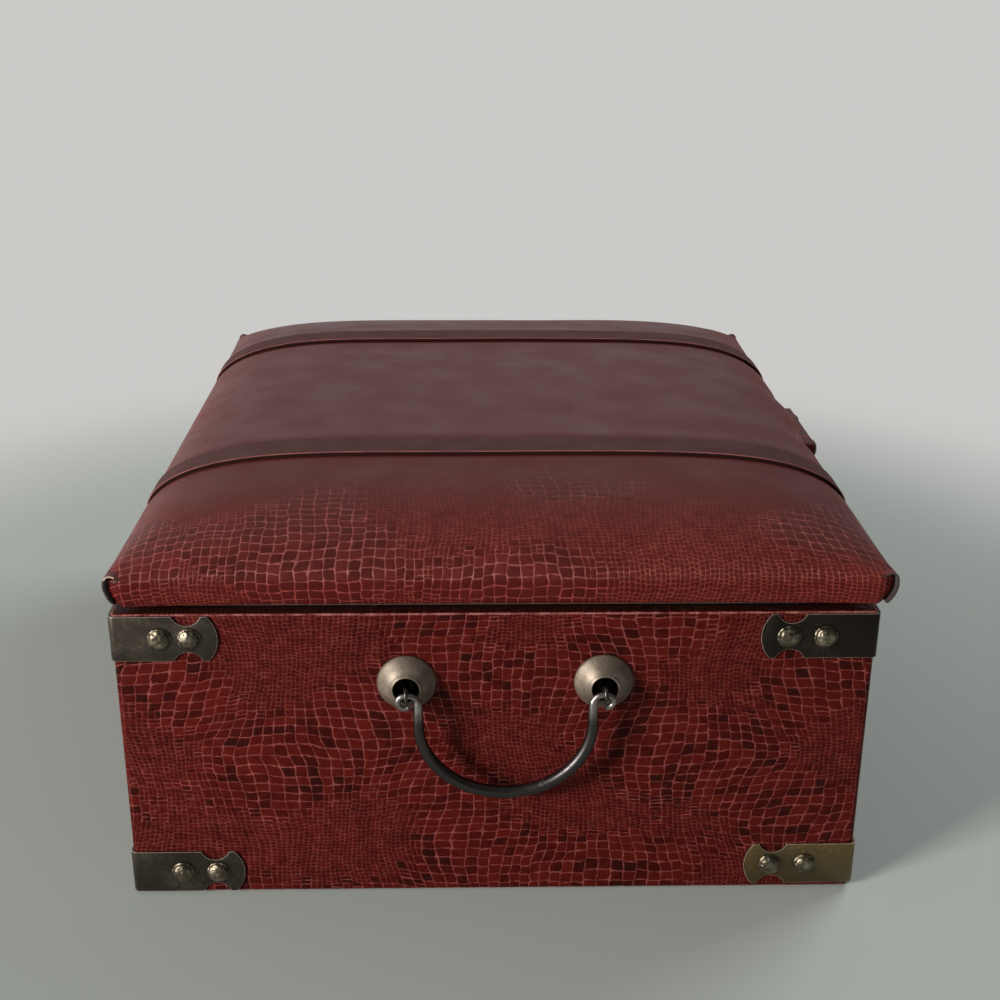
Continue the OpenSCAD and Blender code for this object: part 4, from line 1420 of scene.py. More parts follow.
        def walk(middle: int, stride: int, steps: int, axis: int) -> None:
            """Measures one line of points outwards from its middle.

            Args:
                middle: the number of its middle point.
                stride: how much the next point's number is greater.
                steps: how many points it has on each side.
                axis: 0 where it is a row and 1 where it is a column.
            """
            for way in (1, -1):
                total, last = 0.0, middle
                for k in range(1, steps + 1):
                    at = middle + way * stride * k
                    total += way * (Vector(points[at]) - Vector(points[last])).length
                    along[at][axis] = total
                    last = at

        for i in range(nu):
            walk(i * nv + self.steps_v, 1, self.steps_v, 1)
        for j in range(nv):
            walk(self.steps_u * nv + j, nv, self.steps_u, 0)
        return [(x, y) for x, y in along]

    def above_line(self, flat: Sequence[Flat]) -> list[Flat]:
        """How far the crown's points lie above the widest line.

        Args:
            flat: their flat layout.

        Returns:
            For each point that distance, and 1 where an end is nearer or 0 where a side is.
        """
        nu, nv = 2 * self.steps_u + 1, 2 * self.steps_v + 1
        above = []
        for i in range(nu):
            for j in range(nv):
                x, y = flat[i * nv + j]
                to_side = abs(flat[(0 if i <= self.steps_u else nu - 1) * nv + j][0] - x)
                to_end = abs(flat[i * nv + (0 if j <= self.steps_v else nv - 1)][1] - y)
                lean = (to_side - to_end) / (0.6 * (to_side + to_end) + 6.0)
                above.append((min(to_side, to_end), min(1.0, max(0.0, 0.5 + lean))))
        return above

    def cushion(self) -> bpy.types.Object:
        """The leathercloth of the cushion, over the foam, down the sides and turned under.

        Returns:
            The piece, with its flat layout and its distance above the widest line.
        """
        us, vs = self.spread(self.steps_u, 1.7), self.spread(self.steps_v, 1.45)
        nu, nv = len(us), len(vs)
        points = [self.surface(u, v) for u in us for v in vs]
        faces: list[tuple[int, ...]] = [(a, a + nv, a + nv + 1, a + 1) for a in (
            i * nv + j for i in range(nu - 1) for j in range(nv - 1))]
        flat = self.unroll(points)
        above = self.above_line(flat)

        # Rings run round the crown's outline, each lower or further in than the one before.
        edge = ([(i, 0) for i in range(nu - 1)] + [(nu - 1, j) for j in range(nv - 1)]
                + [(i, nv - 1) for i in range(nu - 1, 0, -1)]
                + [(0, j) for j in range(nv - 1, 0, -1)])
        outward = [Vector((0, -1))] * (nu - 1) + [Vector((1, 0))] * (nv - 1) + (
            [Vector((0, 1))] * (nu - 1)) + [Vector((-1, 0))] * (nv - 1)
        count = len(edge)
        rings, falls = [[i * nv + j for i, j in edge]], [0.0]

        def end_ring(fall: float) -> None:
            """Counts the last points as a ring that lies that far below the widest line."""
            rings.append(list(range(len(points) - count, len(points))))
            falls.append(fall)

        fall, last_z = 0.0, self.tip_z
        for tuck, height, swell in (
                (0.0, 0.9, 1.0), (0.02, 0.75, 1.0), (0.0, 0.6, 0.6), (0.08, 0.48, 0.5),
                (0.2, 0.36, 0.43), (0.35, 0.25, 0.35), (0.55, 0.13, 0.2), (0.78, 0.04, 0.1),
                (1.05, 0.0, 0.0)):
            z = CASE.lid_z + self.edge_h * height
            fall += math.hypot(last_z - z, 1.2 if tuck > 0.3 else 0.0)
            last_z = z
            for (i, j), way in zip(edge, outward):
                u, v = us[i], vs[j]
                end = abs(way.y) * min(1.0, (1 - abs(u)) / 0.03)
                x, y = self.plan(u, v, self.tuck * tuck * (1 - 0.55 * end), swell)
                x += math.copysign(self.full(u, v, height), u)
                points.append((x, y, z - self.sag * end * (1 - height) ** 2))
                above.append((-fall, abs(way.y)))
            end_ring(fall)
        for inset, z in ((8.0, CASE.lid_z), (self.hem, CASE.lid_z), (self.hem, CASE.lid_z + 0.9)):
            for i, j in edge:
                points.append((*self.plan(us[i], vs[j], inset, 0.0), z))
                above.append((-fall - inset, 0.0))
            end_ring(fall + inset)

        crown_faces = len(faces)
        below: list[dict[int, Flat]] = []
        for top, low, top_fall, low_fall in zip(rings, rings[1:], falls, falls[1:]):
            for k in range(count):
                m = (k + 1) % count
                faces.append((top[k], low[k], low[m], top[m]))
                below.append({ring[n]: (flat[rings[0][n]][0] + outward[k].x * down,
                                        flat[rings[0][n]][1] + outward[k].y * down)
                              for ring, down in ((top, top_fall), (low, low_fall))
                              for n in (k, m)})
        faces.append(tuple(reversed(rings[-1])))
        below.append({point: (0.0, 0.0) for point in rings[-1]})

        def layout(face: int, point: int) -> Flat:
            """Flat place of a face's corner."""
            return flat[point] if face < crown_faces else below[face - crown_faces][point]

        return Bench.from_points("lid_cushion", points, faces, layout, 60, above)

    def fold(self, sx: int, sy: int) -> bpy.types.Object:
        """The hood that the side's leathercloth makes where it is folded round a corner.

        Args:
            sx: the corner's side, as the sign of its X.
            sy: the corner's end, as the sign of its Y.

        Returns:
            The piece, with its finishes.
        """
        hw, hd, tip, low = self.width / 2, self.depth / 2, self.tip_z, CASE.lid_z
        thick, length, rows = 0.8, 16.4, 9
        # The open mouth, as (outwards from the corner, height), from the lower lip to the upper.
        mouth = [(-2.4, low + 0.3), (-1.1, low + 1.6), (0.2, low + 3.4), (1.1, low + 5.6),
                 (1.6, low + 8.0), (1.65, low + 10.2), (1.3, tip + 0.8), (0.5, tip + 2.0),
                 (-0.7, tip + 2.7), (-2.2, tip + 2.8), (-3.8, tip + 2.2), (-5.4, tip + 1.2)]
        if sx < 0:
            # The back hoods are slimmer and higher, clear of the body when the lid is open.
            mouth = [(out - (0.5 if n > 3 else 0.8), max(z, low + 1.0 + 0.5 * n))
                     for n, (out, z) in enumerate(mouth)]
        m = len(mouth)
        points: list[Point] = []
        for inner in (0.0, thick):
            for k in range(rows):
                t = k / (rows - 1)
                y = hd - 17 + length * t
                v = y / hd
                side = hw - self.draw * (1 - v ** 6)
                for n, (out, z) in enumerate(mouth):
                    base_x = side - self.tuck * max(0.0, 1 - (z - low) / (0.6 * self.edge_h)) ** 1.5
                    base_z = z
                    if z > tip:
                        u = 1 - (-min(out, 0.0)) / hw
                        base_x = side * u
                        if n > 7:
                            base_z = (tip + self.crown * self.rise(u, hw) * self.rise(v, hd)
                                      - 0.2)
                    x = base_x + (hw + out - base_x) * t ** 1.3
                    up = base_z + (z - base_z) * t ** 1.3
                    turn = math.pi / 2 * share_of(n, 5, 4)
                    points.append((self.shift + sx * (x - inner * math.cos(turn)), sy * y,
                                   up - inner * math.sin(turn)))
        count = rows * m
        # The inner faces and most cut edges take the painted shade.
        outside, backing, inside = 0, 1, 2
        faces: list[tuple[int, ...]] = []
        cloth: list[int] = []

        def add(quad: tuple[int, ...], flip: bool, finish: int) -> None:
            """Adds a face, turned round where that is asked for."""
            faces.append(quad[::-1] if flip != (sx * sy > 0) else quad)
            cloth.append(finish)

        for k in range(rows - 1):
            for n in range(m - 1):
                a = k * m + n
                add((a, a + m, a + m + 1, a + 1), False, outside)
                b = a + count
                add((b + 1, b + m + 1, b + m, b), False, inside)
        for k in (0, rows - 1):
            for n in range(m - 1):
                a = k * m + n
                cut = backing if 5 < n < 10 and sx * sy > 0 else inside
                add((a, a + 1, a + 1 + count, a + count), k > 0, cut if k > 0 else outside)
        for n in (0, m - 1):
            for k in range(rows - 1):
                a = k * m + n
                add((a, a + count, a + count + m, a + m), n > 0, outside)

        def layout(face: int, point: int) -> Flat:
            """Flat place of a face's corner."""
            return sx * (140.0 + points[point][2]), points[point][1]

        piece = Bench.from_points(f"corner_fold_{(sx + 1) // 2}{(sy + 1) // 2}", points, faces,
                                  layout, 60)
        for finish in (TRIM_LEATHER, BACKING, FOLD_SHADE):
            piece.data.materials.append(finish.material())
        for polygon, finish_number in zip(piece.data.polygons, cloth):
            polygon.material_index = finish_number
        return piece

    def build(self) -> None:
        """Makes and seats the cushion and dresses the rest of the lid."""
        cushion = seat(self.cushion(), Body.LID, LID_LEATHER, "leathercloth", "lid_cover",
                       "foam_pad")
        folds = [self.fold(sx, sy) for sx in (-1, 1) for sy in (-1, 1)]
        for fold in folds:
            seat(fold, Body.LID, None, "leathercloth")
        dress_node("lid_board", BOARD)
        liner = Bench.cad_copy("lid_liner", "lid_panel", 0.9, LINING)
        seat(liner, Body.LID, None, "lining", "lid_liner")


@dataclass
class LidStrap:
    """One strap over the cushion, turned under the lid at both ends."""

    lid: CushionLid  # the lid that it crosses
    side: Side  # the end that it is nearer to
    thick: float = 2.0  # its thickness in millimetres
    gap: float = 0.15  # how far it stays off the cushion

    def line(self, v: float) -> list[Flat]:
        """The line that the strap follows over the lid and under its edges.

        Args:
            v: its place in Y, from -1 to 1.

        Returns:
            Its points as (x, z), from back to front.
        """
        lid, n = self.lid, 60
        us = [math.copysign(1 - (1 - abs(k) / n) ** 1.6, k) for k in range(-n, n + 1)]
        top = [(p[0], p[2]) for p in (lid.surface(u, v) for u in us)]

        steps = ((0.0, 0.85), (0.0, 0.6), (0.1, 0.45), (0.3, 0.28), (0.6, 0.1), (0.85, 0.02))

        def fall(u: int) -> list[Flat]:
            """The way down one side of the lid."""
            return [(lid.plan(u, v, lid.tuck * tuck, 0.0)[0], CASE.lid_z + lid.edge_h * height)
                    for tuck, height in steps]

        back, front = fall(-1), fall(1)
        end = CASE.width / 2 - 7.4
        return ([(-end, CASE.lid_z), (back[-1][0] + 2.0, CASE.lid_z)] + back[::-1] + top + front
                + [(front[-1][0] - 2.0, CASE.lid_z), (end, CASE.lid_z)])

    @staticmethod
    def normals(line: Sequence[Flat]) -> list[Vector]:
        """The unit normals of a line.

        Args:
            line: its points.

        Returns:
            For each point the normal, outwards.
        """
        made = []
        for i in range(len(line)):
            a, b = line[max(i - 1, 0)], line[min(i + 1, len(line) - 1)]
            d = Vector((b[0] - a[0], b[1] - a[1])).normalized()
            made.append(Vector((-d.y, d.x)))
        return made

    def band(self) -> bpy.types.Object:
        """The strap as one band with rounded edges and a slightly full face.

        Returns:
            The piece, with its flat layout.
        """
        y_mid = self.side.value * self.lid.strap_y
        half = self.lid.strap_w / 2
        # The band's section, as (shares of its half width, shares of its thickness).
        ring = [(-1.0, 0.0), (-1.0, 0.55), (-0.985, 0.8), (-0.94, 0.96), (-0.8, 1.0), (-0.4, 1.05),
                (0.0, 1.07), (0.4, 1.05), (0.8, 1.0), (0.94, 0.96), (0.985, 0.8), (1.0, 0.55),
                (1.0, 0.0)]
        lines = {s: self.line((y_mid + s * half) / (self.lid.depth / 2)) for s in (-1, 0, 1)}
        normals = {s: self.normals(lines[s]) for s in (-1, 0, 1)}
        points: list[Point] = []
        travel = [0.0]
        for a, b in zip(lines[0], lines[0][1:]):
            travel.append(travel[-1] + math.hypot(b[0] - a[0], b[1] - a[1]))
        for i in range(len(travel)):
            for s, h in ring:
                low, high = (-1, 0) if s < 0 else (0, 1)
                share = s - low
                base = Vector(lines[low][i]).lerp(Vector(lines[high][i]), share)
                normal = normals[low][i].lerp(normals[high][i], share).normalized()
                at = base + normal * (self.gap + self.thick * h)
                points.append((at.x, y_mid + s * half, at.y))
        across = [s * half + math.copysign((1.0 - h) * self.thick if h < 0.97 else 0.0, s)
                  for s, h in ring]
        m, last = len(ring), len(travel) - 1
        faces: list[tuple[int, ...]] = [
            (i * m + k, i * m + (k + 1) % m, (i + 1) * m + (k + 1) % m, (i + 1) * m + k)
            for i in range(last) for k in range(m)]
        faces.append(tuple(reversed(range(m))))
        faces.append(tuple(last * m + k for k in range(m)))

        def layout(face: int, point: int) -> Flat:
            """Flat place of a face's corner."""
            return travel[point // m], across[point % m]

        return Bench.from_points(f"{self.side.name.lower()}_strap_band", points, faces, layout, 45)

    def build(self) -> None:
        """Makes and seats the strap."""
        seat(self.band(), Body.LID, STRAP, "strap_leather", f"{self.side.name.lower()}_strap")


@dataclass
class CornerHardware:
    """The corner plates with their studs, in millimetres."""

    arm: float = 50.5  # length of a plate's arm along a wall
    slip: float = 5.0  # how far the left front upper plate has slipped round its corner
    height: float = 21.0  # a plate's height
    drop: float = 0.8  # how far the upper plates sit below the rim
    rise: float = 1.8  # how far the lower plates sit above the floor
    lift: float = 1.6  # how far the right front lower plate is bent up
    stud_d: float = 10.5  # a stud's diameter
    stud_h: float = 3.4  # a stud's height
    tip: float = 12.0  # distance of the outer stud from the arm's end
    pitch: float = 16.0  # distance between two studs
    slip_pitch: float = 12.8  # the same on the slipped plate
    plate_t: float = 1.0  # a plate's thickness
    # The finishes of the plates that differ from the others, by node.
    sheets: dict[str, AgedMetal] = field(default_factory=lambda: {
        "upper_plate_front_left": BRONZE_DARK, "lower_plate_front_left": BRONZE_GOLD,
        "upper_plate_back_right": BRONZE_DARK, "lower_plate_back_right": BRONZE_GOLD})

    def stud(self, reach: float) -> bpy.types.Object:
        """One domed stud with a rolled rim, its plate's face at height 0.

        Args:
            reach: how far its nail goes in.

        Returns:
            The stud.
        """
        r, h = self.stud_d / 2, self.stud_h
        nail = [(0.0, -reach), (0.7, -reach + 1.4), (0.95, -reach + 2.2), (0.95, 0.05)]
        rim = [(r - 0.9, 0.05), (r - 0.2, 0.0), (r, 0.2), (r - 0.05, 0.55), (r - 0.3, 0.8),
               (r - 0.62, 0.9)]
        dome = [((r - 0.6) * math.cos(math.radians(a)), 0.9 + (h - 1.1) * math.sin(math.radians(a)))
                for a in range(10, 100, 10)]
        top = [(0.55, h - 0.12), (0.3, h - 0.02), (0.0, h)]
        return Bench("stud").turned(nail + rim + dome + top, 32).close(50)

    def stud_places(self, upper: bool) -> list[Matrix]:
        """Where the plates' studs sit.

        Args:
            upper: whether they are the upper plates' studs, or the lower ones'.

        Returns:
            Their turns and places, in metres.
        """
        hw, hd = CASE.width / 2, CASE.depth / 2
        base = CASE.height - self.drop - self.height if upper else self.rise
        places = []
        for sx, sy in ((-1, -1), (1, -1), (-1, 1), (1, 1)):
            slipped = upper and (sx, sy) == (-1, -1)
            bent = not upper and (sx, sy) == (1, -1)
            slip = self.slip if slipped else 0
            z = base + (self.lift if bent else 0.0) + self.height / 2
            for k in (0, 1):
                along = self.tip + k * (self.slip_pitch if slipped else self.pitch)
                places.append(placed((sx * (hw - (self.arm - slip) + along),
                                      sy * (hd + self.plate_t), z), -sy * 90, "X"))
                places.append(placed((sx * (hw + self.plate_t),
                                      sy * (hd - (self.arm + slip) + along), z), sx * 90, "Y"))
        return places

    def build(self) -> None:
        """Makes and seats the plates and studs."""
        for level in ("upper", "lower"):
            for place in ("back_left", "front_left", "back_right", "front_right"):
                node = f"{level}_plate_{place}"
                plate = Bench.cad_copy(node, f"{node}_sheet", 0.46, self.sheets.get(node, BRONZE),
                                       BRONZE_EDGE_GLINT)
                seat(plate, Body.BOX, None, "bronze_plate", node)
            studs = Bench.copies(self.stud(9.0), self.stud_places(level == "upper"),
                                 f"{level}_studs")
            seat(studs, Body.BOX, STUD_BRASS, "antique_brass", f"{level}_plate_studs")


@dataclass
class BailHandle:
    """One end's handle: two spun rosettes, their eyes, and the bail that swings in them."""

    side: Side  # its end of the box
    pitch: float = 86.0  # distance between its eyes in millimetres
    offset: float = 4.0  # how far its middle lies from the end's middle
    rosette_z: float = 109.0  # height of the rosettes' middles
    rosette_r: float = 13.0  # a rosette's radius
    rosette_h: float = 8.0  # a rosette's height over the leathercloth
    hole: float = 5.75  # radius of a rosette's cup
    reach: float = 10.4  # distance of the bail's pivot from the end
    pivot_z: float = 107.6  # height of the bail's pivot
    hook_d: float = 2.6  # diameter of its hooks
    bail_d: float = 5.6  # diameter of its grip
    drop: float = 48.0  # how far the grip hangs below the pivot
    leg_in: float = 5.2  # how far its legs lie inside the eyes
    leg_top: float = 4.0  # radius of the bend from hook to leg
    leg_len: float = 14.0  # how far the legs reach down before the bow starts
    hook_r: float = 3.0  # radius of a hook
    hook_flat: float = 0.6  # how far a hook's middle lies outside its pivot
    hook_steps: int = 18  # faces round a hook

    @property
    def label(self) -> str:
        """The side's word in names."""
        return self.side.name.lower()

    def rosette(self) -> bpy.types.Object:
        """One spun rosette: a full cone with a rolled rim and a deep cup.

        Returns:
            The piece.
        """
        r, h, lip = self.rosette_r, self.rosette_h, self.hole
        rim = [(0.0, 0.0), (r - 2.4, 0.0), (r - 0.5, 0.0), (r - 0.05, 0.25), (r, 0.6),
               (r - 0.2, 1.1), (r - 0.75, 1.8)]
        cone = [(r - 1.5, 2.6), (r - 2.4, 3.6), (r - 3.3, 4.6), (r - 4.2, 5.5), (r - 5.2, 6.35),
                (r - 6.1, 7.1), (lip + 0.75, h - 0.2), (lip + 0.35, h), (lip + 0.05, h - 0.1)]
        cup = [(lip - 0.1, h - 0.5), (lip - 0.1, 2.0), (lip - 0.5, 1.25), (3.2, 1.2), (0.0, 1.2)]
        return Bench("rosette").turned(rim + cone + cup, 64).close(45)

    def hook(self, turn: float) -> list[Flat]:
        """One hook, from its cut end to the top of its leg.

        Args:
            turn: how many degrees over half a turn it curls.

        Returns:
            Its points as (across, up) from its pivot.
        """
        line = []
        for k in range(self.hook_steps + 1):
            a = math.radians(-90 + turn - k * (180 + turn) / self.hook_steps)
            line.append((-self.hook_flat + self.hook_r * math.cos(a),
                         -self.hook_r + self.hook_r * math.sin(a)))
        for degrees in range(80, -10, -10):
            a = math.radians(degrees)
            line.append((self.leg_in - self.leg_top + self.leg_top * math.cos(a),
                         -self.leg_top + self.leg_top * math.sin(a)))
        return line

    def path(self) -> list[Flat]:
        """The bail's middle line.

        Returns:
            Its points as (across, up) from between its pivots.
        """
        half = self.pitch / 2
        wide = half - self.leg_in
        low = self.leg_len - self.drop
        legs = [-self.leg_top - k * (self.leg_len - self.leg_top) / 5 for k in range(1, 5)]
        turns = [math.radians(180 + 4.5 * k) for k in range(41)]
        line = ([(x - half, z) for x, z in self.hook(30)] + [(-wide, z) for z in legs]
                + [(wide * math.cos(a), -self.leg_len - low * math.sin(a)) for a in turns]
                + [(wide, z) for z in reversed(legs)]
                + [(half - x, z) for x, z in reversed(self.hook(5))])

        def beyond(end: Flat, beside: Flat) -> Flat:
            """A point just past an end, where the cut is rounded."""
            return tuple(Vector(end) + (Vector(end) - Vector(beside)).normalized() * 0.25)

        return [beyond(line[0], line[1])] + line + [beyond(line[-1], line[-2])]

    def bail(self) -> bpy.types.Object:
        """The bail: one round bar, thick in the grip and drawn down to its curled hooks.

        Returns:
            The piece.
        """
        path = self.path()
        Bench.clear()
        bpy.ops.curve.primitive_nurbs_path_add(location=(0, 0, 0))
        curve = bpy.context.object.data
        curve.splines.clear()
        spline = curve.splines.new("POLY")
        spline.points.add(len(path) - 1)
        turn = -self.side.value
        for k, (across, up) in enumerate(path):
            from_end = min(k, len(path) - 1 - k)
            radius = self.hook_d / 2
            if from_end > self.hook_steps + 1:
                share = share_of(-up, 2, self.drop - 12) ** 0.4
                radius += (self.bail_d - self.hook_d) / 2 * share
            if from_end == 0:
                radius -= 0.35
            spline.points[k].co = (turn * (across + self.offset) * MM,
                                   self.side.value * (CASE.depth / 2 + self.reach) * MM,
                                   (self.pivot_z + up) * MM, 1.0)
            spline.points[k].radius = radius
        curve.dimensions = "3D"
        curve.twist_mode = "MINIMUM"
        curve.bevel_depth = MM
        curve.bevel_resolution = 6
        curve.use_fill_caps = True
        bpy.ops.object.convert(target="MESH")
        return Bench(f"{self.label}_bail_bar").take().close(50, 0.005)

    def rosettes(self) -> bpy.types.Object:
        """Both rosettes with their finishes.

        Returns:
            The piece, darkened inside its cups with painted shade.
        """
        s = self.side.value
        places = [placed((-s * self.offset + k * self.pitch / 2, s * CASE.depth / 2,
                          self.rosette_z), -s * 90, "X") for k in (-1, 1)]
        rosettes = Bench.copies(self.rosette(), places, f"{self.label}_spun_rosettes")
        for finish in (BRASS, CUP_SHADE):
            rosettes.data.materials.append(finish.material())
        # The faces deep in a cup take the painted shade.
        for polygon in rosettes.data.polygons:
            c = polygon.center / MM
            across = abs(abs(c.x + s * self.offset) - self.pitch / 2)
            deep = abs(c.y) < CASE.depth / 2 + self.rosette_h - 0.9
            if deep and math.hypot(across, c.z - self.rosette_z) < self.hole:
                polygon.material_index = 1
        return rosettes

    def build(self) -> None:
        """Makes and seats the handle."""
        seat(self.rosettes(), Body.BOX, None, "antique_brass", f"{self.label}_rosettes")
        body = Body.LEFT_HANDLE if self.side is Side.LEFT else Body.RIGHT_HANDLE
        seat(self.bail(), body, IRON, "dark_iron", f"{self.label}_bail")
        dress_node(f"{self.label}_eyes", WIRE)
        dress_node(f"{self.label}_eye_washers", IRON)


@dataclass
class ClosureFlap:
    """The leather closure flap: studded to the lid, folded at its edge, held by a magnet."""

    x: float = 170.915  # its inner face above the fold, in millimetres
    thick: float = 2.2  # its thickness
    fold_z: float = 148.5  # height of the fold
    top_z: float = 160.95  # height of its top edge
    tip_z: float = 96.5  # height of its lower edge
    seat_x: float = 168.3  # its inner face where it lies on the body
    bend_z: float = 123.5  # height from which it lies on the body
    width: float = 66.0  # its width down to the fold
    tip_w: float = 50.0  # its width near the lower edge
    round_r: float = 12.0  # radius of its lower corners
    root_z: float = 9.0  # height over the fold from which it thickens towards the cushion
    stud_y: float = 22.0  # distance of its studs from its middle
    stud_z: float = 155.15  # height of its studs
    stitch_in: float = 3.2  # distance of the stitches from its edge
    stitch: float = 3.4  # distance between two stitches

    def inner_x(self, z: float) -> float:
        """The flap's inner face.

        Args:
            z: a height.

        Returns:
            The face's X at that height.
        """
        if z >= self.fold_z:
            return self.x
        t = share_of(self.fold_z - z, 0, self.fold_z - self.bend_z)
        return self.x + (self.seat_x - self.x) * (t * t * (3 - 2 * t))

    def half_width(self, z: float) -> float:
        """Half the flap's width.

        Args:
            z: a height.

        Returns:
            Half the width at that height.
        """
        low, r, straight = self.tip_z, self.round_r, self.fold_z - 6
        if z > straight:
            return self.width / 2 - 1.5 * max(0.0, (z - self.top_z + 1.5) / 1.5) ** 2
        if z > low + r:
            share = (z - low - r) / (straight - low - r)
            return self.tip_w / 2 + (self.width - self.tip_w) / 2 * share
        up = (low + r - z) / r
        return self.tip_w / 2 - r + r * math.sqrt(max(0.0, 1 - up * up))

    def blank(self) -> bpy.types.Object:
        """The flap as one leather blank, drawn down from its top edge.

        Returns:
            The piece, with its flat layout.
        """
        z = self.top_z
        heights = [z - 0.2, z - 0.7, z - 1.5, z - 3.3, z - 6, z - 8.5]
        heights += [self.fold_z + 2, self.fold_z, self.fold_z - 3, self.fold_z - 6]
        heights += [138, 134, 130, 126, 122, 118, 114, 111, 108.5]
        heights += [self.tip_z + self.round_r * (1 - math.sin(math.radians(a)))
                    for a in (12, 25, 38, 50, 62, 72, 80, 86)]
        heights.append(self.tip_z + 0.1)
        slope = 1.15
        root = slope * (z - self.fold_z - self.root_z)
        bench = Bench("flap_leather_piece").plate(self.thick + root - 0.6,
                                                  2 * self.half_width(z) - 3.0, 0.5, z, 3)
        last = self.x - root / 2
        bpy.ops.transform.translate(value=((last + self.thick / 2) * MM, 0, 0))
        for height in heights:
            root = slope * max(0.0, height - self.fold_z - self.root_z)
            thick = self.thick + root - (0.8 if height <= self.tip_z + 0.2 else 0.0)
            at = self.inner_x(height) - root / 2
            bench.draw(thick, 2 * self.half_width(height), height, at - last)
            last = at
        piece = bench.close(50)
        mesh = piece.data
        Bench.lay_flat(mesh, lambda _, point: (mesh.vertices[point].co.z / MM,
                                               mesh.vertices[point].co.y / MM))
        return piece

    def seam_line(self) -> list[Flat]:
        """The line of the stitches, down one side and to the middle of the tip.

        Returns:
            Its points as (y, z).
        """
        line: list[Flat] = []
        step, edge = 0.5, self.stitch_in
        middle_y, middle_z = self.tip_w / 2 - self.round_r, self.tip_z + self.round_r
        z = self.top_z - edge
        while z > middle_z:
            line.append((self.half_width(z) - edge, z))
            z -= step
        r = self.round_r - edge
        for k in range(60):
            a = math.radians(1.5 * k)
            line.append((middle_y + r * math.cos(a), middle_z - r * math.sin(a)))
        y = middle_y
        while y > 0:
            line.append((y, self.tip_z + edge))
            y -= step
        return line

    def stitches(self) -> bpy.types.Object:
        """The row of stitches along the flap's edge.

        Returns:
            The piece.
        """
        Bench.clear()
        bpy.ops.mesh.primitive_uv_sphere_add(segments=8, ring_count=6, radius=MM)
        bench = Bench("stitch").take()
        bpy.ops.transform.resize(value=(0.28, 0.34, 1.15))
        bpy.ops.object.mode_set(mode="OBJECT")
        places = []
        line = self.seam_line()
        walked, last = 0.0, Vector(line[0])
        for y, z in line[1:]:
            here = Vector((y, z))
            walked += (here - last).length
            if walked >= self.stitch:
                walked = 0.0
                lean = math.atan2(here.x - last.x, here.y - last.y)
                tip = math.atan(self.inner_x(z + 0.5) - self.inner_x(z - 0.5))
                for s in (-1, 1):
                    at = Vector((self.inner_x(z) + self.thick - 0.02, s * y, z)) * MM
                    places.append(Matrix.Translation(at) @ Matrix.Rotation(tip, 4, "Y")
                                  @ Matrix.Rotation(-s * lean, 4, "X"))
            last = here
        return Bench.copies(bench.piece, places, "flap_stitches")

    def build(self, hardware: CornerHardware) -> None:
        """Makes the flap with its stitching, seats its studs and dresses its magnet.

        Args:
            hardware: what makes its studs.
        """
        for piece, finish, nodes in ((self.blank(), TRIM_LEATHER, ("flap_anchor", "flap_tongue")),
                                     (self.stitches(), THREAD, ())):
            finish.dress(piece)
            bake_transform(piece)
            if nodes:
                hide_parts(*nodes)
            log.info("%s bends between lid and closure", piece.name)
        places = [placed((self.x + self.thick, s * self.stud_y, self.stud_z), 90, "Y")
                  for s in (-1, 1)]
        studs = Bench.copies(hardware.stud(14.0), places, "flap_dome_studs")
        seat(studs, Body.LID, STUD_BRASS, "antique_brass", "flap_studs")
        dress_node("flap_magnet", IRON)
        dress_node("closure_keeper", BRASS)


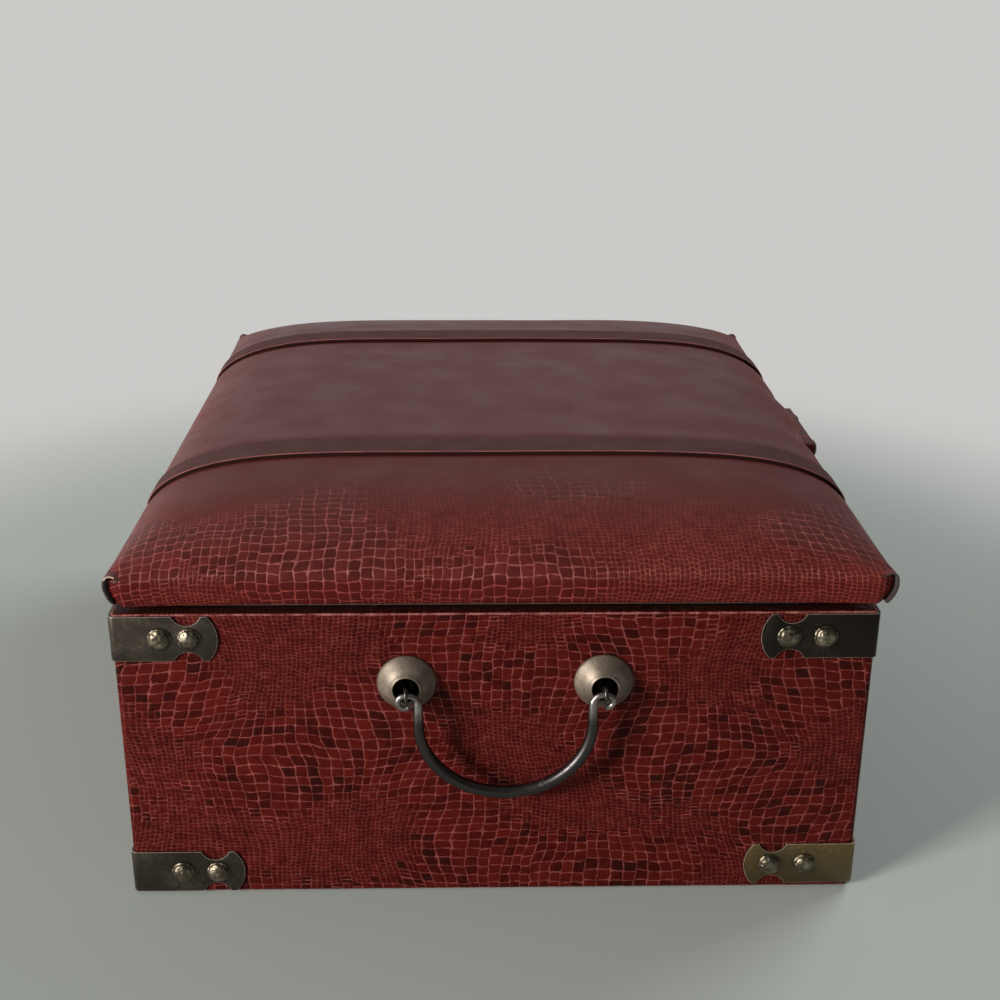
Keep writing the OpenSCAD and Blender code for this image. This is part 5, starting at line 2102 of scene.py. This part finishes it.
@dataclass
class Studio:
    """Floor, lamps and camera."""

    eye: Point = (-12.80, -756.42, 410.92)  # the camera's place in millimetres
    down: float = 21.216  # how many degrees it looks down
    turn: float = 1.433  # how many degrees it is turned to the right
    roll: float = 0.357  # how many degrees it is tilted
    lens: float = 52.04  # its focal length in millimetres
    soft: Colour = (0.225, 0.23, 0.235, 1.0)  # the room's light on matt surfaces
    dim: Colour = (0.085, 0.085, 0.085, 1.0)  # the room in front of the box, as metal mirrors it
    bright: Colour = (0.72, 0.72, 0.715, 1.0)  # the room behind the box, as metal mirrors it

    def floor(self) -> None:
        """A wide, flat, pale floor."""
        Bench.clear()
        bpy.ops.mesh.primitive_circle_add(vertices=96, radius=40.0, fill_type="NGON",
                                          location=(0, 0, 0))
        plane = bpy.context.object
        plane.name = plane.data.name = "studio_floor"
        FLOOR.dress(plane)

    def camera(self) -> None:
        """The camera, where the photograph was taken from."""
        p, y, r = (math.radians(a) for a in (self.down, self.turn, self.roll))
        ahead = Vector((math.sin(y) * math.cos(p), math.cos(y) * math.cos(p), -math.sin(p)))
        right = Vector((math.cos(y), -math.sin(y), 0))
        up = right.cross(ahead)
        side = right * math.cos(r) + up * math.sin(r)
        top = right * -math.sin(r) + up * math.cos(r)
        data = bpy.data.cameras.new("photo_camera")
        data.lens, data.sensor_width = self.lens, 36.0
        data.clip_start, data.clip_end = 0.02, 60.0
        camera = bpy.data.objects.new("photo_camera", data)
        bpy.context.scene.collection.objects.link(camera)
        turn = Matrix((side, top, -ahead)).transposed().to_4x4()
        camera.matrix_world = Matrix.Translation(Vector(self.eye) * MM) @ turn
        bpy.context.scene.camera = camera

    def lamp(self, name: str, at: Point, size: float, power: float, tint: Point,
             mirrored: bool = True) -> None:
        """A soft square lamp that looks at the box.

        Args:
            name: its name.
            at: its place in metres.
            size: its width in metres.
            power: its power in watts.
            tint: its colour.
            mirrored: whether glossy surfaces mirror it.
        """
        data = bpy.data.lights.new(name, "AREA")
        data.size, data.energy, data.color = size, power, tint
        light = bpy.data.objects.new(name, data)
        bpy.context.scene.collection.objects.link(light)
        light.visible_glossy = mirrored
        light.location = at
        aim = Vector((0.0, 0.0, 0.1)) - Vector(at)
        light.rotation_euler = aim.to_track_quat("-Z", "Y").to_euler()

    def room(self) -> None:
        """Soft light from all round, in a room that is pale behind the box and dim in front."""
        shader = Shader("studio_room", world=True)
        right, back, _ = shader.axes(shader.node("TexCoord", output="Generated"))
        pale = shader.ramp(back, -0.35, 0.4) * shader.ramp(right, 0.05, 0.65, 1.0, 0.25)
        camera, glossy = shader.outputs(shader.node("LightPath"), "Is Camera Ray", "Is Glossy Ray")
        seen = shader.mix(glossy, self.soft, shader.mix(pale, self.dim, self.bright))
        shader.finish(color=shader.mix(camera, seen, PALE), strength=1.0)
        bpy.context.scene.world = shader.material

    def build(self) -> None:
        """Sets the studio up."""
        self.floor()
        self.camera()
        self.lamp("key", (-2.5, -1.8, 0.98), 0.85, 128.0, (1.0, 0.985, 0.96))
        self.lamp("side", (-1.3, -1.05, 0.07), 0.3, 3.4, (1.0, 0.985, 0.97))
        self.lamp("fill", (1.2, 0.9, 1.2), 1.0, 20.0, (0.97, 0.985, 1.0), mirrored=False)
        self.room()
        bpy.context.scene.view_settings.view_transform = "Standard"
        log.info("studio ready")


def main() -> None:
    """Builds the box's looks, piece by piece."""
    logging.basicConfig(level=logging.INFO, format="%(name)s: %(message)s")
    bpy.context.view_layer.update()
    Studio().build()
    BoardBody().build()
    lid = CushionLid()
    lid.build()
    for side in Side:
        LidStrap(lid, side).build()
        BailHandle(side).build()
    hardware = CornerHardware()
    hardware.build()
    ClosureFlap().build(hardware)
    for node in ("hinge_body_leaves", "hinge_lid_leaves", "hinge_pins", "hinge_body_screws",
                 "hinge_lid_screws"):
        dress_node(node, BRASS)


if __name__ == "__main__":
    main()
